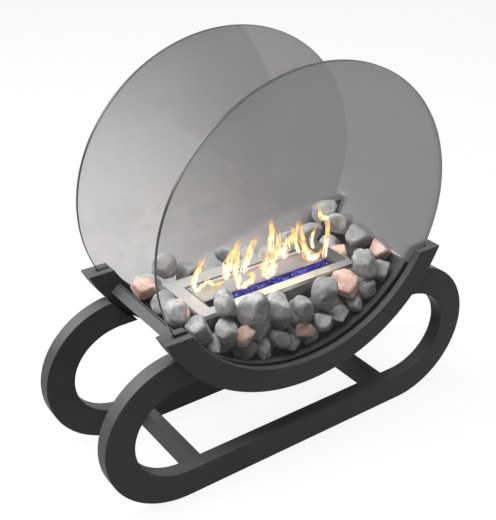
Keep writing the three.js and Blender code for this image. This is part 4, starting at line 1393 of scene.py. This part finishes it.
WHITE = (1, 1, 1, 1)
FLOOR_HALF = 30.0
LIT_MIDDLE = (0, 0, 0.3)  # what the lamps aim at
SENSOR = 36.0  # width of the camera's film, in millimetres


def seen_rays(tree):
    """Rays that show the studio, straight or in metal and glass, and those of bounced light."""
    path = tree.add("ShaderNodeLightPath")
    seen = path["Is Camera Ray"] + path["Is Glossy Ray"] + path["Is Transmission Ray"]
    return tree.maths("MINIMUM", seen, 1.0), path["Is Diffuse Ray"]


def floor_finish(studio):
    """A pale floor that shows white, with a share of its own shading left in it."""
    finish = Finish("Studio floor")
    seen, bounced = seen_rays(finish)
    pale = finish.blend(bounced, (0.9, 0.9, 0.9), (studio.floor_bounce,) * 3)
    own = finish.add("ShaderNodeBsdfDiffuse", {"Color": pale})
    white = finish.add("ShaderNodeEmission", {"Color": WHITE, "Strength": 1.0})
    both = finish.add("ShaderNodeMixShader", {0: seen * (1 - studio.floor_shadow), 1: own, 2: white})
    return finish.ends_in(both)


def light_room(scene, studio):
    """White to look at and in reflections, and an even grey light on the object."""
    world = bpy.data.worlds.new("Studio room")
    world.use_nodes = True
    scene.world = world
    tree = Tree(world.node_tree)
    tree.nodes.clear()
    seen, _ = seen_rays(tree)
    strength = seen + (1 - seen) * studio.room
    background = tree.add("ShaderNodeBackground", {"Color": WHITE, "Strength": strength})
    tree.add("ShaderNodeOutputWorld", {"Surface": background})


def aimed(name, data, place, towards):
    """A lamp or camera at a place, turned towards a point."""
    item = added(name, data)
    item.location = place
    item.rotation_euler = (Vector(towards) - Vector(place)).to_track_quat("-Z", "Y").to_euler()
    return item


def softbox(name, power, place, width):
    light = bpy.data.lights.new(name, "AREA")
    light.shape = "RECTANGLE"
    light.size = width
    light.size_y = width
    light.energy = power
    aimed(name, light, place, LIT_MIDDLE).visible_camera = False


class HEARTH_OT_studio(bpy.types.Operator):
    """Makes the floor, the soft lights and the camera"""
    bl_idname = "hearth.make_studio"
    bl_label = "Studio"

    def execute(self, context):
        scene = context.scene
        studio = scene.hearth_studio
        corners = [(x * FLOOR_HALF, y * FLOOR_HALF, 0) for x, y in ((-1, -1), (1, -1), (1, 1), (-1, 1))]
        floor = added("studio_floor", mesh_of("studio_floor", corners, [(0, 1, 2, 3)]))
        floor.data.materials.append(floor_finish(studio))
        light_room(scene, studio)
        softbox("overhead_softbox", studio.overhead, place=(-0.55, 0.15, 2.55), width=2.2)
        softbox("rear_softbox", studio.side, place=(-1.3, 1.5, 1.7), width=1.5)

        lens = bpy.data.cameras.new("studio_camera")
        lens.lens = studio.lens
        lens.sensor_width = SENSOR
        level = math.cos(studio.elevation)
        right, back = math.sin(studio.azimuth) * level, -math.cos(studio.azimuth) * level
        away = Vector((right, back, math.sin(studio.elevation)))
        aim = Vector(studio.aim)
        scene.camera = aimed("studio_camera", lens, aim + away * studio.distance, aim)
        scene.view_settings.view_transform = "Standard"
        return {"FINISHED"}


# ---------------------------------------------------------------- add-on

OPERATORS = (
    HEARTH_OT_studio,
    HEARTH_OT_cradle,
    HEARTH_OT_sleds,
    HEARTH_OT_panes,
    HEARTH_OT_burner,
    HEARTH_OT_stones,
    HEARTH_OT_fire,
)


class HEARTH_PT_fireplace(bpy.types.Panel):
    """Lists the makers of the fireplace's pieces and their settings"""
    bl_label = "Bioethanol Fireplace"
    bl_idname = "HEARTH_PT_fireplace"
    bl_space_type = "VIEW_3D"
    bl_region_type = "UI"
    bl_category = "Fireplace"

    def draw(self, context):
        for operator in OPERATORS:
            self.layout.operator(operator.bl_idname)
        for name, settings in SETTINGS.items():
            box = self.layout.box()
            box.label(text=settings.__doc__)
            for field in settings.__annotations__:
                box.prop(getattr(context.scene, name), field)


CLASSES = (*SETTINGS.values(), *OPERATORS, HEARTH_PT_fireplace)


def register():
    for item in CLASSES:
        bpy.utils.register_class(item)
    for name, settings in SETTINGS.items():
        setattr(bpy.types.Scene, name, PointerProperty(type=settings))


def unregister():
    for name in SETTINGS:
        delattr(bpy.types.Scene, name)
    for item in reversed(CLASSES):
        bpy.utils.unregister_class(item)


def main():
    register()
    bpy.ops.hearth.make_studio()
    bpy.ops.hearth.make_cradle()
    bpy.ops.hearth.make_sleds()
    bpy.ops.hearth.make_panes()
    bpy.ops.hearth.make_burner()
    bpy.ops.hearth.make_stones()
    bpy.ops.hearth.make_fire()


if __name__ == "__main__":
    main()
